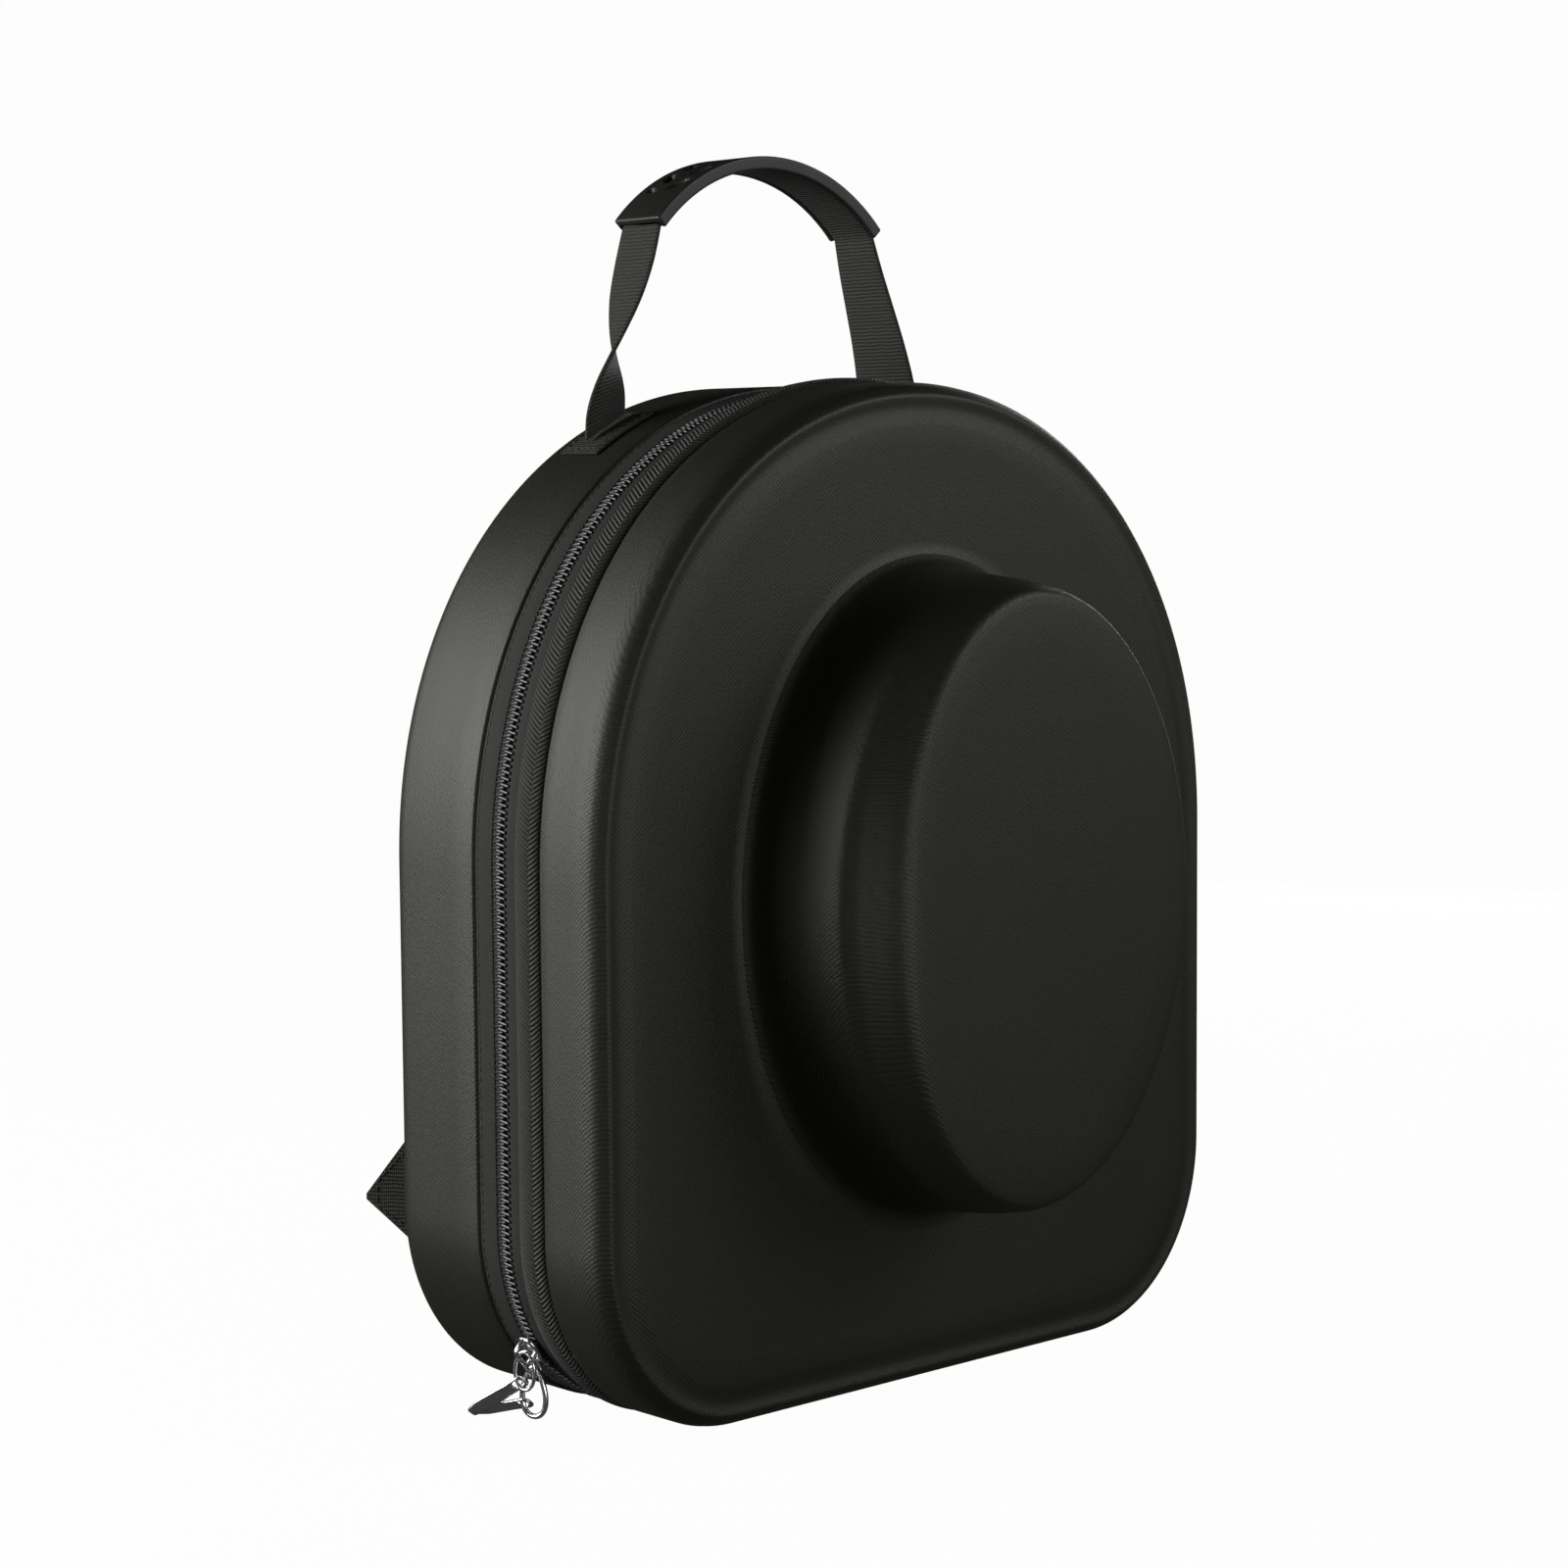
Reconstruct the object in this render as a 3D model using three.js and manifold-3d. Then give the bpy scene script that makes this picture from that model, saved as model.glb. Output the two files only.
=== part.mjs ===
// Hat case: a moulded back shell and a moulded lid with a hat-shaped crown, joined by a zip and a sewn strip.
// Millimetres, +Z up. The zip lies in a plane across Y, the lid faces -Y and the back faces +Y.
import * as THREE from 'three';
import { mergeVertices } from 'three/addons/utils/BufferGeometryUtils.js';
import Module from 'manifold-3d';

const wasm = await Module();
wasm.setup();

// Clearances between neighbouring pieces
const gap = 0.3;

// Outline of the body, seen from the front
const bodyHeight = 350;
const bodyWidth = 299;
const cornerWidth = 60;
const cornerHeight = 68;
const archHeight = 163;
const archPower = 2.07;

// Shells, with depths counted from the zip plane
const shellWall = 3;
const backDepth = 60;
const backFillet = 10;
const backSeam = 12.6;
const lidDepth = 52;
const rimWidth = 15;
const rimDepth = 9;
const edgeRound = 1;

// Crown raised on the lid's face
const crownWidth = 176;
const crownHeight = 233;
const crownRise = 54;
const crownSpread = 16;
const crownCentre = 174.5;
const crownLedge = 15;

// Zip, piping and sewn strip
const chainWidth = 7;
const chainThickness = 2.4;
const tapeThickness = 1.4;
const tapeInset = 1;
const lidTapeWidth = 5.2;
const pipingWidth = 12.4;
const pipingHeight = 7.5;
const pipingProud = 2.25;
const zipEndShare = 0.8;

// Carry handle
const handleWidth = 20;
const gripRise = 24;
const gripHalfSpan = 54.5;
const gripTop = 432;
const gripPlate = 2.6;
const gripFlange = 4.8;
const gripFlangeWall = 1.8;
const webThickness = 1.6;
const footOffset = 68.5;
const footWidth = 33;
const patchLength = 26;
const patchWidth = 20;
const patchThickness = 1.2;

// Shoulder straps, counted from the back face
const strapWidth = 32;
const strapThickness = 2;
const strapStandOff = 23;
const strapTopInset = 50;
const strapTopOffset = 28;
const strapFootShare = 0.3;
const yokeWidth = 104;
const yokeHeight = 34;
const yokeThickness = 2;
const wingLow = 45;
const wingHigh = 101.8;
const wingTipHeight = 69;
const wingTipBlunt = 2;
const wingTipInset = 3;
const wingBaseInset = 18;
const wingReach = 20;

// Zip slider and its pulls
const sliderShare = 0.41;
const sliderLength = 10;
const sliderWidth = 8.4;
const sliderPlate = 1.6;
const bridgeRise = 5;
const bridgeWidth = 1.8;
const bridgeBar = 1.3;
const bridgeShare = 0.31;
const eyeReach = 4.6;
const wireDiameter = 1.3;
const loopLength = 13;
const loopWidth = 8.5;
const dropLength = 17;
const dropWidth = 12;
const dropWire = 1.9;
const tabLength = 21;
const tabWidth = 6.4;
const tabThickness = 1;
const tabHole = 4.2;
const tabLean = 0.7;

// Depth of the whole case, used to set the origin under the middle of its box
const totalFront = lidDepth + crownRise;
const totalBack = backDepth + strapStandOff + strapThickness / 2;
const originShift = (totalFront - totalBack) / 2;

const halfWidth = bodyWidth / 2;
const flatHalf = halfWidth - cornerWidth;
const wingTipOffset = halfWidth - wingTipInset;
const wingBaseOffset = halfWidth - wingBaseInset;
const strapTopHeight = bodyHeight - strapTopInset;
const archStart = bodyHeight - archHeight;

const up = new THREE.Vector3(0, 0, 1);
const back = new THREE.Vector3(0, 1, 0);

// Points of the outline, each with its outward direction, one function for each stretch
const outline = {
  bottom: (share) => edgePoint(THREE.MathUtils.lerp(-flatHalf, flatHalf, share), 0, 0, -1),
  rightCorner: (share) => cornerPoint(1, (1 - share) * Math.PI / 2),
  rightSide: (share) => edgePoint(halfWidth, THREE.MathUtils.lerp(cornerHeight, archStart, share), 1, 0),
  arch: (share) => archPoint(share * Math.PI),
  leftSide: (share) => edgePoint(-halfWidth, THREE.MathUtils.lerp(archStart, cornerHeight, share), -1, 0),
  leftCorner: (share) => cornerPoint(-1, share * Math.PI / 2),
};

function edgePoint(x, z, outX, outZ) {
  const length = Math.hypot(outX, outZ);
  return { x, z, outX: outX / length, outZ: outZ / length };
}

function cornerPoint(side, angle) {
  const x = side * (flatHalf + cornerWidth * Math.cos(angle));
  const z = cornerHeight * (1 - Math.sin(angle));
  return edgePoint(x, z, side * Math.cos(angle) / cornerWidth, -Math.sin(angle) / cornerHeight);
}

function archPoint(angle) {
  const across = Math.cos(angle);
  const rise = Math.sin(angle);
  const x = halfWidth * Math.sign(across) * Math.abs(across) ** (2 / archPower);
  const z = archHeight * Math.abs(rise) ** (2 / archPower);
  const outX = Math.sign(across) * Math.abs(x / halfWidth) ** (archPower - 1) / halfWidth;
  const outZ = (z / archHeight) ** (archPower - 1) / archHeight;
  return edgePoint(x, archStart + z, outX, outZ);
}

// Points along named stretches: each row has the stretch, its first and last share and the steps taken
function walk(rows, closed) {
  const points = [];
  for (const { stretch, from, to, steps } of rows) {
    for (let step = 0; step < steps; step += 1) {
      points.push(outline[stretch](THREE.MathUtils.lerp(from, to, step / steps)));
    }
  }
  const last = rows[rows.length - 1];
  if (!closed) points.push(outline[last.stretch](last.to));
  return points;
}

const wholeLoop = walk([
  { stretch: 'bottom', from: 0, to: 1, steps: 6 },
  { stretch: 'rightCorner', from: 0, to: 1, steps: 7 },
  { stretch: 'rightSide', from: 0, to: 1, steps: 3 },
  { stretch: 'arch', from: 0, to: 1, steps: 26 },
  { stretch: 'leftSide', from: 0, to: 1, steps: 3 },
  { stretch: 'leftCorner', from: 0, to: 1, steps: 7 },
], true);

const zipRun = walk([
  { stretch: 'rightCorner', from: 1 - zipEndShare, to: 1, steps: 6 },
  { stretch: 'rightSide', from: 0, to: 1, steps: 3 },
  { stretch: 'arch', from: 0, to: 1, steps: 26 },
  { stretch: 'leftSide', from: 0, to: 1, steps: 3 },
  { stretch: 'leftCorner', from: 0, to: zipEndShare, steps: 6 },
], false);

const cornerLength = Math.PI / 4 * (cornerWidth + cornerHeight);
const stripStart = zipEndShare + 2 * gap / cornerLength;
const stripRun = walk([
  { stretch: 'leftCorner', from: stripStart, to: 1, steps: 2 },
  { stretch: 'bottom', from: 0, to: 1, steps: 6 },
  { stretch: 'rightCorner', from: 0, to: 1 - stripStart, steps: 2 },
], false);

function insetPoint(point, inset, y) {
  return new THREE.Vector3(point.x - point.outX * inset, y, point.z - point.outZ * inset);
}

// Closed mesh through rings of equal length. The ends are closed by a fan, or the last ring meets the first.
// The sides named in turned have their squares split along the other diagonal.
function loft(rings, looped = false, turned = []) {
  const count = rings[0].length;
  const vertices = rings.flat();
  const faces = [];
  const joins = looped ? rings.length : rings.length - 1;
  for (let ring = 0; ring < joins; ring += 1) {
    const next = (ring + 1) % rings.length;
    for (let k = 0; k < count; k += 1) {
      const a = ring * count + k;
      const b = ring * count + (k + 1) % count;
      const c = next * count + (k + 1) % count;
      const d = next * count + k;
      if (turned.includes(k)) faces.push([a, b, d], [b, c, d]);
      else faces.push([a, b, c], [a, c, d]);
    }
  }
  if (!looped) {
    addFan(vertices, faces, 0, count, true);
    addFan(vertices, faces, (rings.length - 1) * count, count, false);
  }
  return closedGeometry(vertices, faces);
}

function addFan(vertices, faces, start, count, reversed) {
  const middle = new THREE.Vector3();
  for (let k = 0; k < count; k += 1) middle.addScaledVector(vertices[start + k], 1 / count);
  const centre = vertices.push(middle) - 1;
  for (let k = 0; k < count; k += 1) {
    const here = start + k;
    const next = start + (k + 1) % count;
    faces.push(reversed ? [centre, next, here] : [centre, here, next]);
  }
}

function closedGeometry(vertices, faces) {
  const volume = faces.reduce((sum, [a, b, c]) => (
    sum + vertices[a].dot(new THREE.Vector3().crossVectors(vertices[b], vertices[c]))
  ), 0);
  const outward = volume > 0 ? faces : faces.map(([a, b, c]) => [a, c, b]);
  const numbers = vertices.flatMap((vertex) => vertex.toArray());
  const geometry = new THREE.BufferGeometry();
  geometry.setAttribute('position', new THREE.Float32BufferAttribute(numbers, 3));
  geometry.setIndex(outward.flat());
  return geometry;
}

// Extruded shape with its shared corners merged
function extrude(shape, depth, steps = 1) {
  const raw = new THREE.ExtrudeGeometry(shape, { depth, steps, bevelEnabled: false });
  raw.deleteAttribute('normal');
  raw.deleteAttribute('uv');
  return mergeVertices(raw, 1e-4);
}

// Joining of closed meshes
function toSolid(geometry) {
  return new wasm.Manifold(new wasm.Mesh({
    numProp: 3,
    vertProperties: new Float32Array(geometry.attributes.position.array),
    triVerts: new Uint32Array(geometry.index.array),
  }));
}

function fromSolid(solid) {
  const mesh = solid.getMesh();
  const geometry = new THREE.BufferGeometry();
  geometry.setAttribute('position', new THREE.BufferAttribute(new Float32Array(mesh.vertProperties), 3));
  geometry.setIndex(Array.from(mesh.triVerts));
  return geometry;
}

function bandAlong(run, section, looped = false) {
  return loft(run.map((point) => section.map(({ inset, y }) => insetPoint(point, inset, y))), looped);
}

function flatSection(insetFrom, insetTo, yFrom, yTo) {
  return [
    { inset: insetFrom, y: yFrom },
    { inset: insetFrom, y: yTo },
    { inset: insetTo, y: yTo },
    { inset: insetTo, y: yFrom },
  ];
}

// Ring of the body at a depth, and ring of the crown at a share of its profile
function bodyRing(inset, y) {
  return wholeLoop.map((point) => insetPoint(point, inset, y));
}

function crownRing(inset, y, ledge) {
  return wholeLoop.map((point) => {
    const angle = Math.atan2(point.z - crownCentre, point.x);
    const side = Math.max(-Math.cos(angle), 0) ** 1.5;
    const acrossHalf = crownWidth / 2 - inset;
    const tallHalf = crownHeight / 2 - inset;
    const reach = 1 / Math.hypot(Math.cos(angle) / acrossHalf, Math.sin(angle) / tallHalf) - ledge * side;
    return new THREE.Vector3(reach * Math.cos(angle), y, crownCentre + reach * Math.sin(angle));
  });
}

// Fillet from a side to a face: inset and depth counted back from the face, in equal turns
function filletRows(radius, steps) {
  return Array.from({ length: steps + 1 }, (_, step) => {
    const turn = step / steps * Math.PI / 2;
    return { inset: radius * (1 - Math.cos(turn)), below: radius * (1 - Math.sin(turn)) };
  });
}

function backShell() {
  const outer = [
    { inset: edgeRound, below: backDepth - backSeam },
    { inset: 0, below: backDepth - backSeam - edgeRound },
    ...filletRows(backFillet, 4),
  ];
  const innerFillet = backFillet - shellWall;
  const inner = [
    { inset: shellWall, below: backDepth - backSeam },
    ...filletRows(innerFillet, 3).map(({ inset, below }) => (
      { inset: inset + shellWall, below: below + shellWall }
    )),
  ];
  const ring = ({ inset, below }) => bodyRing(inset, backDepth - below);
  return loft([...outer.reverse().map(ring), ...inner.map(ring)]);
}

// Rim of the lid: shares of the rim's width and depth, from the side over a low roll and groove to the face
const rimTable = [
  { inset: 0, below: 1 },
  { inset: 0.05, below: 0.62 },
  { inset: 0.17, below: 0.28 },
  { inset: 0.34, below: 0.06 },
  { inset: 0.6, below: 0.12 },
  { inset: 1, below: 0 },
];

// Crown: shares of its spread and rise from the lid's face to the flat top, with the share of the soft ledge
// that the left side has under the top
const crownTable = [
  { inset: 0, rise: 0, ledge: 0 },
  { inset: 0.16, rise: 0.05, ledge: 0 },
  { inset: 0.28, rise: 0.16, ledge: 0 },
  { inset: 0.38, rise: 0.35, ledge: 0 },
  { inset: 0.44, rise: 0.55, ledge: 0.02 },
  { inset: 0.49, rise: 0.68, ledge: 0.07 },
  { inset: 0.53, rise: 0.76, ledge: 0.24 },
  { inset: 0.57, rise: 0.83, ledge: 0.5 },
  { inset: 0.62, rise: 0.9, ledge: 0.76 },
  { inset: 0.7, rise: 0.96, ledge: 0.92 },
  { inset: 0.82, rise: 0.99, ledge: 1 },
  { inset: 1, rise: 1, ledge: 1 },
];

function crownRows() {
  return crownTable.map(({ inset, rise, ledge }) => (
    { inset: inset * crownSpread, depth: lidDepth + rise * crownRise, ledge: ledge * crownLedge }
  ));
}

// Inner side of the crown: each row moved in by the wall, square to the profile with half of the ledge
function innerCrownRows() {
  const rows = crownRows();
  return rows.map((row, k) => {
    const before = rows[Math.max(k - 1, 0)];
    const after = rows[Math.min(k + 1, rows.length - 1)];
    const run = after.inset - before.inset + (after.ledge - before.ledge) / 2;
    const rise = after.depth - before.depth;
    const length = Math.hypot(run, rise);
    const flat = k === 0 || k === rows.length - 1;
    return {
      inset: row.inset + (flat ? 0 : shellWall * rise / length),
      depth: row.depth - shellWall * (flat ? 1 : run / length),
      ledge: row.ledge,
    };
  }).filter((_, k) => k === 0 || k > 1);
}

function lidShell() {
  const rimStart = pipingDepth + pipingWidth / 2 + gap;
  const outer = [
    bodyRing(edgeRound, -rimStart),
    bodyRing(0, -rimStart - edgeRound),
    ...rimTable.map(({ inset, below }) => bodyRing(inset * rimWidth, -(lidDepth - below * rimDepth))),
    ...crownRows().map(({ inset, depth, ledge }) => crownRing(inset, -depth, ledge)),
  ];
  const innerRim = rimTable.filter((_, k) => k !== 1 && k !== 4);
  const inner = [
    bodyRing(shellWall, -rimStart),
    ...innerRim.map(({ inset, below }) => (
      bodyRing(shellWall + inset * (rimWidth - shellWall), -(lidDepth - shellWall - below * rimDepth))
    )),
    ...innerCrownRows().map(({ inset, depth, ledge }) => crownRing(inset, -depth, ledge)),
  ];
  return loft([...outer.reverse(), ...inner]);
}

// Zip: two tapes, two rows of coil as plain strips, the piping and the sewn strip under the case
const teethDepth = chainWidth / 2;
const pipingDepth = teethDepth + gap + lidTapeWidth + gap + pipingWidth / 2;

function zipTape(side, far) {
  const section = flatSection(tapeInset, tapeInset + tapeThickness, side * (teethDepth + gap), side * far);
  return bandAlong(zipRun, section);
}

function zipTeeth(side) {
  const section = flatSection(tapeInset - chainThickness / 3, tapeInset + chainThickness * 2 / 3,
    side * gap / 2, side * teethDepth);
  return bandAlong(zipRun, section);
}

// The piping is oval and stands proud of the case, and is pressed flush where the case stands on it
function piping() {
  const radius = pipingHeight / 2;
  const sides = 10;
  const rings = wholeLoop.map((point) => {
    const pressed = Math.max(-point.outZ, 0) ** 2;
    const centre = THREE.MathUtils.lerp(radius - pipingProud, radius, pressed);
    return Array.from({ length: sides }, (_, k) => {
      const turn = k / sides * 2 * Math.PI;
      const aside = pipingWidth / 2 * Math.sin(turn);
      return insetPoint(point, centre + radius * Math.cos(turn), -pipingDepth + aside);
    });
  });
  return loft(rings, true);
}

function sewnStrip() {
  const section = flatSection(tapeInset, tapeInset + tapeThickness,
    -(pipingDepth - pipingWidth / 2 - gap), backSeam - gap);
  return bandAlong(stripRun, section);
}

// Strip of webbing through rows of centre, tangent, width direction and width. Its two faces are split alike,
// so that it keeps its thickness where it twists.
function webbing(rows, thickness) {
  const farFace = 2;
  return loft(rows.map(({ centre, along, across, width }) => {
    const side = across.clone().normalize();
    const face = new THREE.Vector3().crossVectors(along, side).normalize();
    const corner = (a, b) => centre.clone().addScaledVector(side, a * width / 2)
      .addScaledVector(face, b * thickness / 2);
    return [corner(-1, -1), corner(1, -1), corner(1, 1), corner(-1, 1)];
  }), false, [farFace]);
}

// Handle: its arc, legs and feet lie in a plane across Y in the middle of the back shell's side
const handleY = (backDepth + backSeam) / 2;
const gripRadius = (gripHalfSpan ** 2 + gripRise ** 2) / (2 * gripRise);
const gripAngle = Math.asin(gripHalfSpan / gripRadius);
const webUnderTop = gripPlate + gap + webThickness / 2;

function gripPoint(angle, under) {
  const reach = gripRadius - under;
  return new THREE.Vector3(reach * Math.sin(angle), handleY, gripTop - gripRadius + reach * Math.cos(angle));
}

function handleGrip() {
  const half = handleWidth / 2 + gap + gripFlangeWall;
  const inside = handleWidth / 2 + gap;
  const section = [
    { y: -half, under: 0 },
    { y: half, under: 0 },
    { y: half, under: gripFlange },
    { y: inside, under: gripFlange },
    { y: inside, under: gripPlate },
    { y: -inside, under: gripPlate },
    { y: -inside, under: gripFlange },
    { y: -half, under: gripFlange },
  ];
  const shape = new THREE.Shape(section.map(({ y, under }) => new THREE.Vector2(y, under)));
  const steps = 14;
  const flat = extrude(shape, 1, steps);
  const place = flat.attributes.position;
  for (let k = 0; k < place.count; k += 1) {
    const angle = THREE.MathUtils.lerp(-gripAngle, gripAngle, place.getZ(k));
    const point = gripPoint(angle, place.getY(k));
    place.setXYZ(k, point.x, point.y + place.getX(k), point.z);
  }
  return turnOutward(flat);
}

function turnOutward(geometry) {
  const place = geometry.attributes.position;
  const vertexAt = (_, k) => new THREE.Vector3().fromBufferAttribute(place, k);
  const vertices = Array.from({ length: place.count }, vertexAt);
  const faces = [];
  for (let k = 0; k < geometry.index.count; k += 3) {
    faces.push([geometry.index.getX(k), geometry.index.getX(k + 1), geometry.index.getX(k + 2)]);
  }
  return closedGeometry(vertices, faces);
}

// Where a foot of the handle stands on the arch
function archAt(x) {
  const z = archHeight * (1 - Math.abs(x / halfWidth) ** archPower) ** (1 / archPower);
  const outX = Math.sign(x) * Math.abs(x / halfWidth) ** (archPower - 1) / halfWidth;
  const outZ = (z / archHeight) ** (archPower - 1) / archHeight;
  return edgePoint(x, archStart + z, outX, outZ);
}

// Legs: share of the way from the foot to the grip, width as a share from grip to foot, turn of the webbing.
// The left leg makes a quarter turn on its way down, as its foot is sewn along the arch.
const legTable = [
  { rise: 0, flare: 1, leftTurn: 90, lean: 0 },
  { rise: 0.1, flare: 0.9, leftTurn: 84, lean: 0.1 },
  { rise: 0.22, flare: 0.78, leftTurn: 66, lean: 0.16 },
  { rise: 0.34, flare: 0.66, leftTurn: 46, lean: 0.18 },
  { rise: 0.48, flare: 0.52, leftTurn: 28, lean: 0.16 },
  { rise: 0.64, flare: 0.36, leftTurn: 13, lean: 0.1 },
  { rise: 0.82, flare: 0.18, leftTurn: 4, lean: 0.03 },
  { rise: 1, flare: 0, leftTurn: 0, lean: 0 },
];

function handleStrap() {
  const lift = patchThickness + 2 * gap + webThickness / 2;
  const foot = (side) => insetPoint(archAt(side * footOffset), -lift, handleY);
  const leg = (side) => legTable.map(({ rise, flare, leftTurn, lean }) => {
    const start = foot(side);
    const end = gripPoint(side * gripAngle, webUnderTop);
    const centre = start.lerp(end, rise);
    centre.x += side * lean * (footOffset - gripHalfSpan);
    const turn = side < 0 ? THREE.MathUtils.degToRad(leftTurn) : 0;
    const ground = archAt(side * footOffset);
    const slope = -ground.outX / ground.outZ * (1 - rise) ** 4;
    const across = new THREE.Vector3(Math.sin(turn), Math.cos(turn), Math.sin(turn) * slope);
    const shrink = side < 0 ? THREE.MathUtils.lerp(1, patchWidth / footWidth, leftTurn / 90) : 1;
    return { centre, across, width: THREE.MathUtils.lerp(handleWidth, footWidth, flare) * shrink };
  });
  const steps = 10;
  const arc = Array.from({ length: steps - 1 }, (_, k) => ({
    centre: gripPoint(THREE.MathUtils.lerp(-gripAngle, gripAngle, (k + 1) / steps), webUnderTop),
    across: back.clone(),
    width: handleWidth,
  }));
  const rows = [...leg(-1), ...arc, ...leg(1).reverse()];
  return webbing(withTangents(rows), webThickness);
}

function withTangents(rows) {
  return rows.map((row, k) => {
    const before = rows[Math.max(k - 1, 0)].centre;
    const after = rows[Math.min(k + 1, rows.length - 1)].centre;
    return { ...row, along: after.clone().sub(before).normalize() };
  });
}

// Patch sewn on the arch under each foot, bent to the arch
function handlePatch(side) {
  const steps = 4;
  const rows = Array.from({ length: steps + 1 }, (_, k) => {
    const x = side * footOffset + THREE.MathUtils.lerp(-0.5, 0.5, k / steps) * patchLength;
    const ground = archAt(x);
    return {
      centre: insetPoint(ground, -gap - patchThickness / 2, handleY),
      across: back.clone(),
      width: side < 0 ? patchWidth : footWidth,
    };
  });
  return webbing(withTangents(rows), patchThickness);
}

// Shoulder straps: shares of the way from the wing to the yoke, and of the stand-off from the back
const strapTable = [
  { rise: 0, aside: 0, off: strapFootShare },
  { rise: 0.05, aside: 0.08, off: 0.45 },
  { rise: 0.12, aside: 0.17, off: 0.75 },
  { rise: 0.2, aside: 0.28, off: 0.95 },
  { rise: 0.32, aside: 0.44, off: 1 },
  { rise: 0.5, aside: 0.66, off: 0.9 },
  { rise: 0.7, aside: 0.86, off: 0.66 },
  { rise: 0.86, aside: 0.97, off: 0.32 },
  { rise: 0.95, aside: 1, off: 0.1 },
  { rise: 1, aside: 1, off: 0 },
];

// Distance of a wing's outer face from the case's middle, at a depth off the back
function wingOffset(off) {
  return THREE.MathUtils.mapLinear(off, gap, wingReach, wingBaseOffset, wingTipOffset);
}

// A strap's lower end is sewn to the inner face of its wing
function shoulderStrap(side) {
  const low = gap + strapThickness / 2;
  const standOff = (share) => THREE.MathUtils.lerp(low, strapStandOff, share);
  const seam = wingOffset(standOff(strapFootShare) - strapThickness / 2) - strapThickness;
  const start = seam - gap - strapWidth / 2;
  const rows = strapTable.map(({ rise, aside, off }) => ({
    centre: new THREE.Vector3(
      side * THREE.MathUtils.lerp(start, strapTopOffset, aside),
      backDepth + standOff(off),
      THREE.MathUtils.lerp(wingTipHeight, strapTopHeight, rise),
    ),
    across: new THREE.Vector3(side, 0, 0),
    width: strapWidth,
  }));
  return webbing(withTangents(rows), strapThickness);
}

// Yoke: a plain patch over the straps' upper ends
function strapYoke() {
  const shape = new THREE.Shape();
  shape.moveTo(-yokeWidth / 2, 0);
  shape.lineTo(yokeWidth / 2, 0);
  shape.lineTo(yokeWidth / 2, yokeHeight);
  shape.lineTo(-yokeWidth / 2, yokeHeight);
  const yoke = extrude(shape, yokeThickness);
  yoke.rotateX(Math.PI / 2);
  yoke.translate(0, backDepth + gap + yokeThickness, strapTopHeight + gap);
  return turnOutward(yoke);
}

// Wing: the folded three-cornered tab that holds a strap's lower end, sewn to the back's lower corner
function strapWing(side) {
  const foot = backDepth + gap;
  const tip = backDepth + wingReach;
  const corner = (x, y, z) => new THREE.Vector3(side * x, y, z);
  const ring = (shift) => [
    corner(wingBaseOffset - shift, foot, wingLow),
    corner(wingTipOffset - shift, tip, wingTipHeight - wingTipBlunt),
    corner(wingTipOffset - shift, tip, wingTipHeight),
    corner(wingBaseOffset - shift, foot, wingHigh),
  ];
  return loft([ring(0), ring(strapThickness)]);
}

// Zip slider, in its own axes: X along the zip, Y across it and Z out of the case
const sliderPoint = outline.leftCorner(sliderShare);
const sliderLift = chainThickness / 3 - tapeInset + gap;
const sliderAxes = new THREE.Matrix4().makeBasis(
  new THREE.Vector3(-sliderPoint.outZ, 0, sliderPoint.outX),
  new THREE.Vector3(0, 1, 0).negate(),
  new THREE.Vector3(sliderPoint.outX, 0, sliderPoint.outZ),
);
sliderAxes.setPosition(insetPoint(sliderPoint, -sliderLift, 0));

function sliderPlace(x, y, z) {
  return new THREE.Vector3(x, y, z).applyMatrix4(sliderAxes);
}

// Slider: the plate, a long bridge for the loop and a small eye at its lower end, cast in one piece
const bridgeEnd = sliderLength * bridgeShare;

function zipSlider() {
  const half = sliderLength / 2;
  const outlineRows = [
    { x: -1, y: 0.32 },
    { x: -0.4, y: 0.5 },
    { x: 0.5, y: 0.5 },
    { x: 1, y: 0.36 },
  ];
  const upper = outlineRows.map(({ x, y }) => new THREE.Vector2(x * half, y * sliderWidth));
  const lower = outlineRows.map(({ x, y }) => new THREE.Vector2(x * half, -y * sliderWidth)).reverse();
  const plate = extrude(new THREE.Shape([...upper, ...lower]), sliderPlate);
  const bridgeRows = [
    { x: -half * 0.9, rise: 0.6 },
    { x: -half * 0.55, rise: 1 },
    { x: half * 0.35, rise: 1 },
    { x: half * 0.7, rise: 0.94 },
    { x: half + eyeReach, rise: 0.9 },
  ];
  const side = new THREE.Shape([
    new THREE.Vector2(-half * 0.9, sliderPlate / 2),
    ...bridgeRows.map(({ x, rise }) => new THREE.Vector2(x, sliderPlate + rise * bridgeRise)),
    new THREE.Vector2(half + eyeReach, sliderPlate / 2),
  ]);
  const loopHole = sideHole(-half * 0.9 + bridgeBar, bridgeEnd - bridgeBar / 2, bridgeRise * 0.66);
  const dropHole = sideHole(bridgeEnd + bridgeBar / 2, half + eyeReach - bridgeBar, bridgeRise * 0.66);
  const bridge = toSolid(standUp(extrude(side, bridgeWidth), bridgeWidth));
  const joined = fromSolid(toSolid(turnOutward(plate)).add(bridge).subtract(loopHole).subtract(dropHole));
  return joined.applyMatrix4(sliderAxes);
}

function standUp(geometry, width) {
  geometry.rotateX(Math.PI / 2);
  geometry.translate(0, width / 2, 0);
  return turnOutward(geometry);
}

function sideHole(from, to, height) {
  const shape = new THREE.Shape([
    new THREE.Vector2(from, sliderPlate),
    new THREE.Vector2(to, sliderPlate),
    new THREE.Vector2(to, sliderPlate + height),
    new THREE.Vector2(from, sliderPlate + height),
  ]);
  return toSolid(standUp(extrude(shape, 2 * sliderWidth), 2 * sliderWidth));
}

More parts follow.
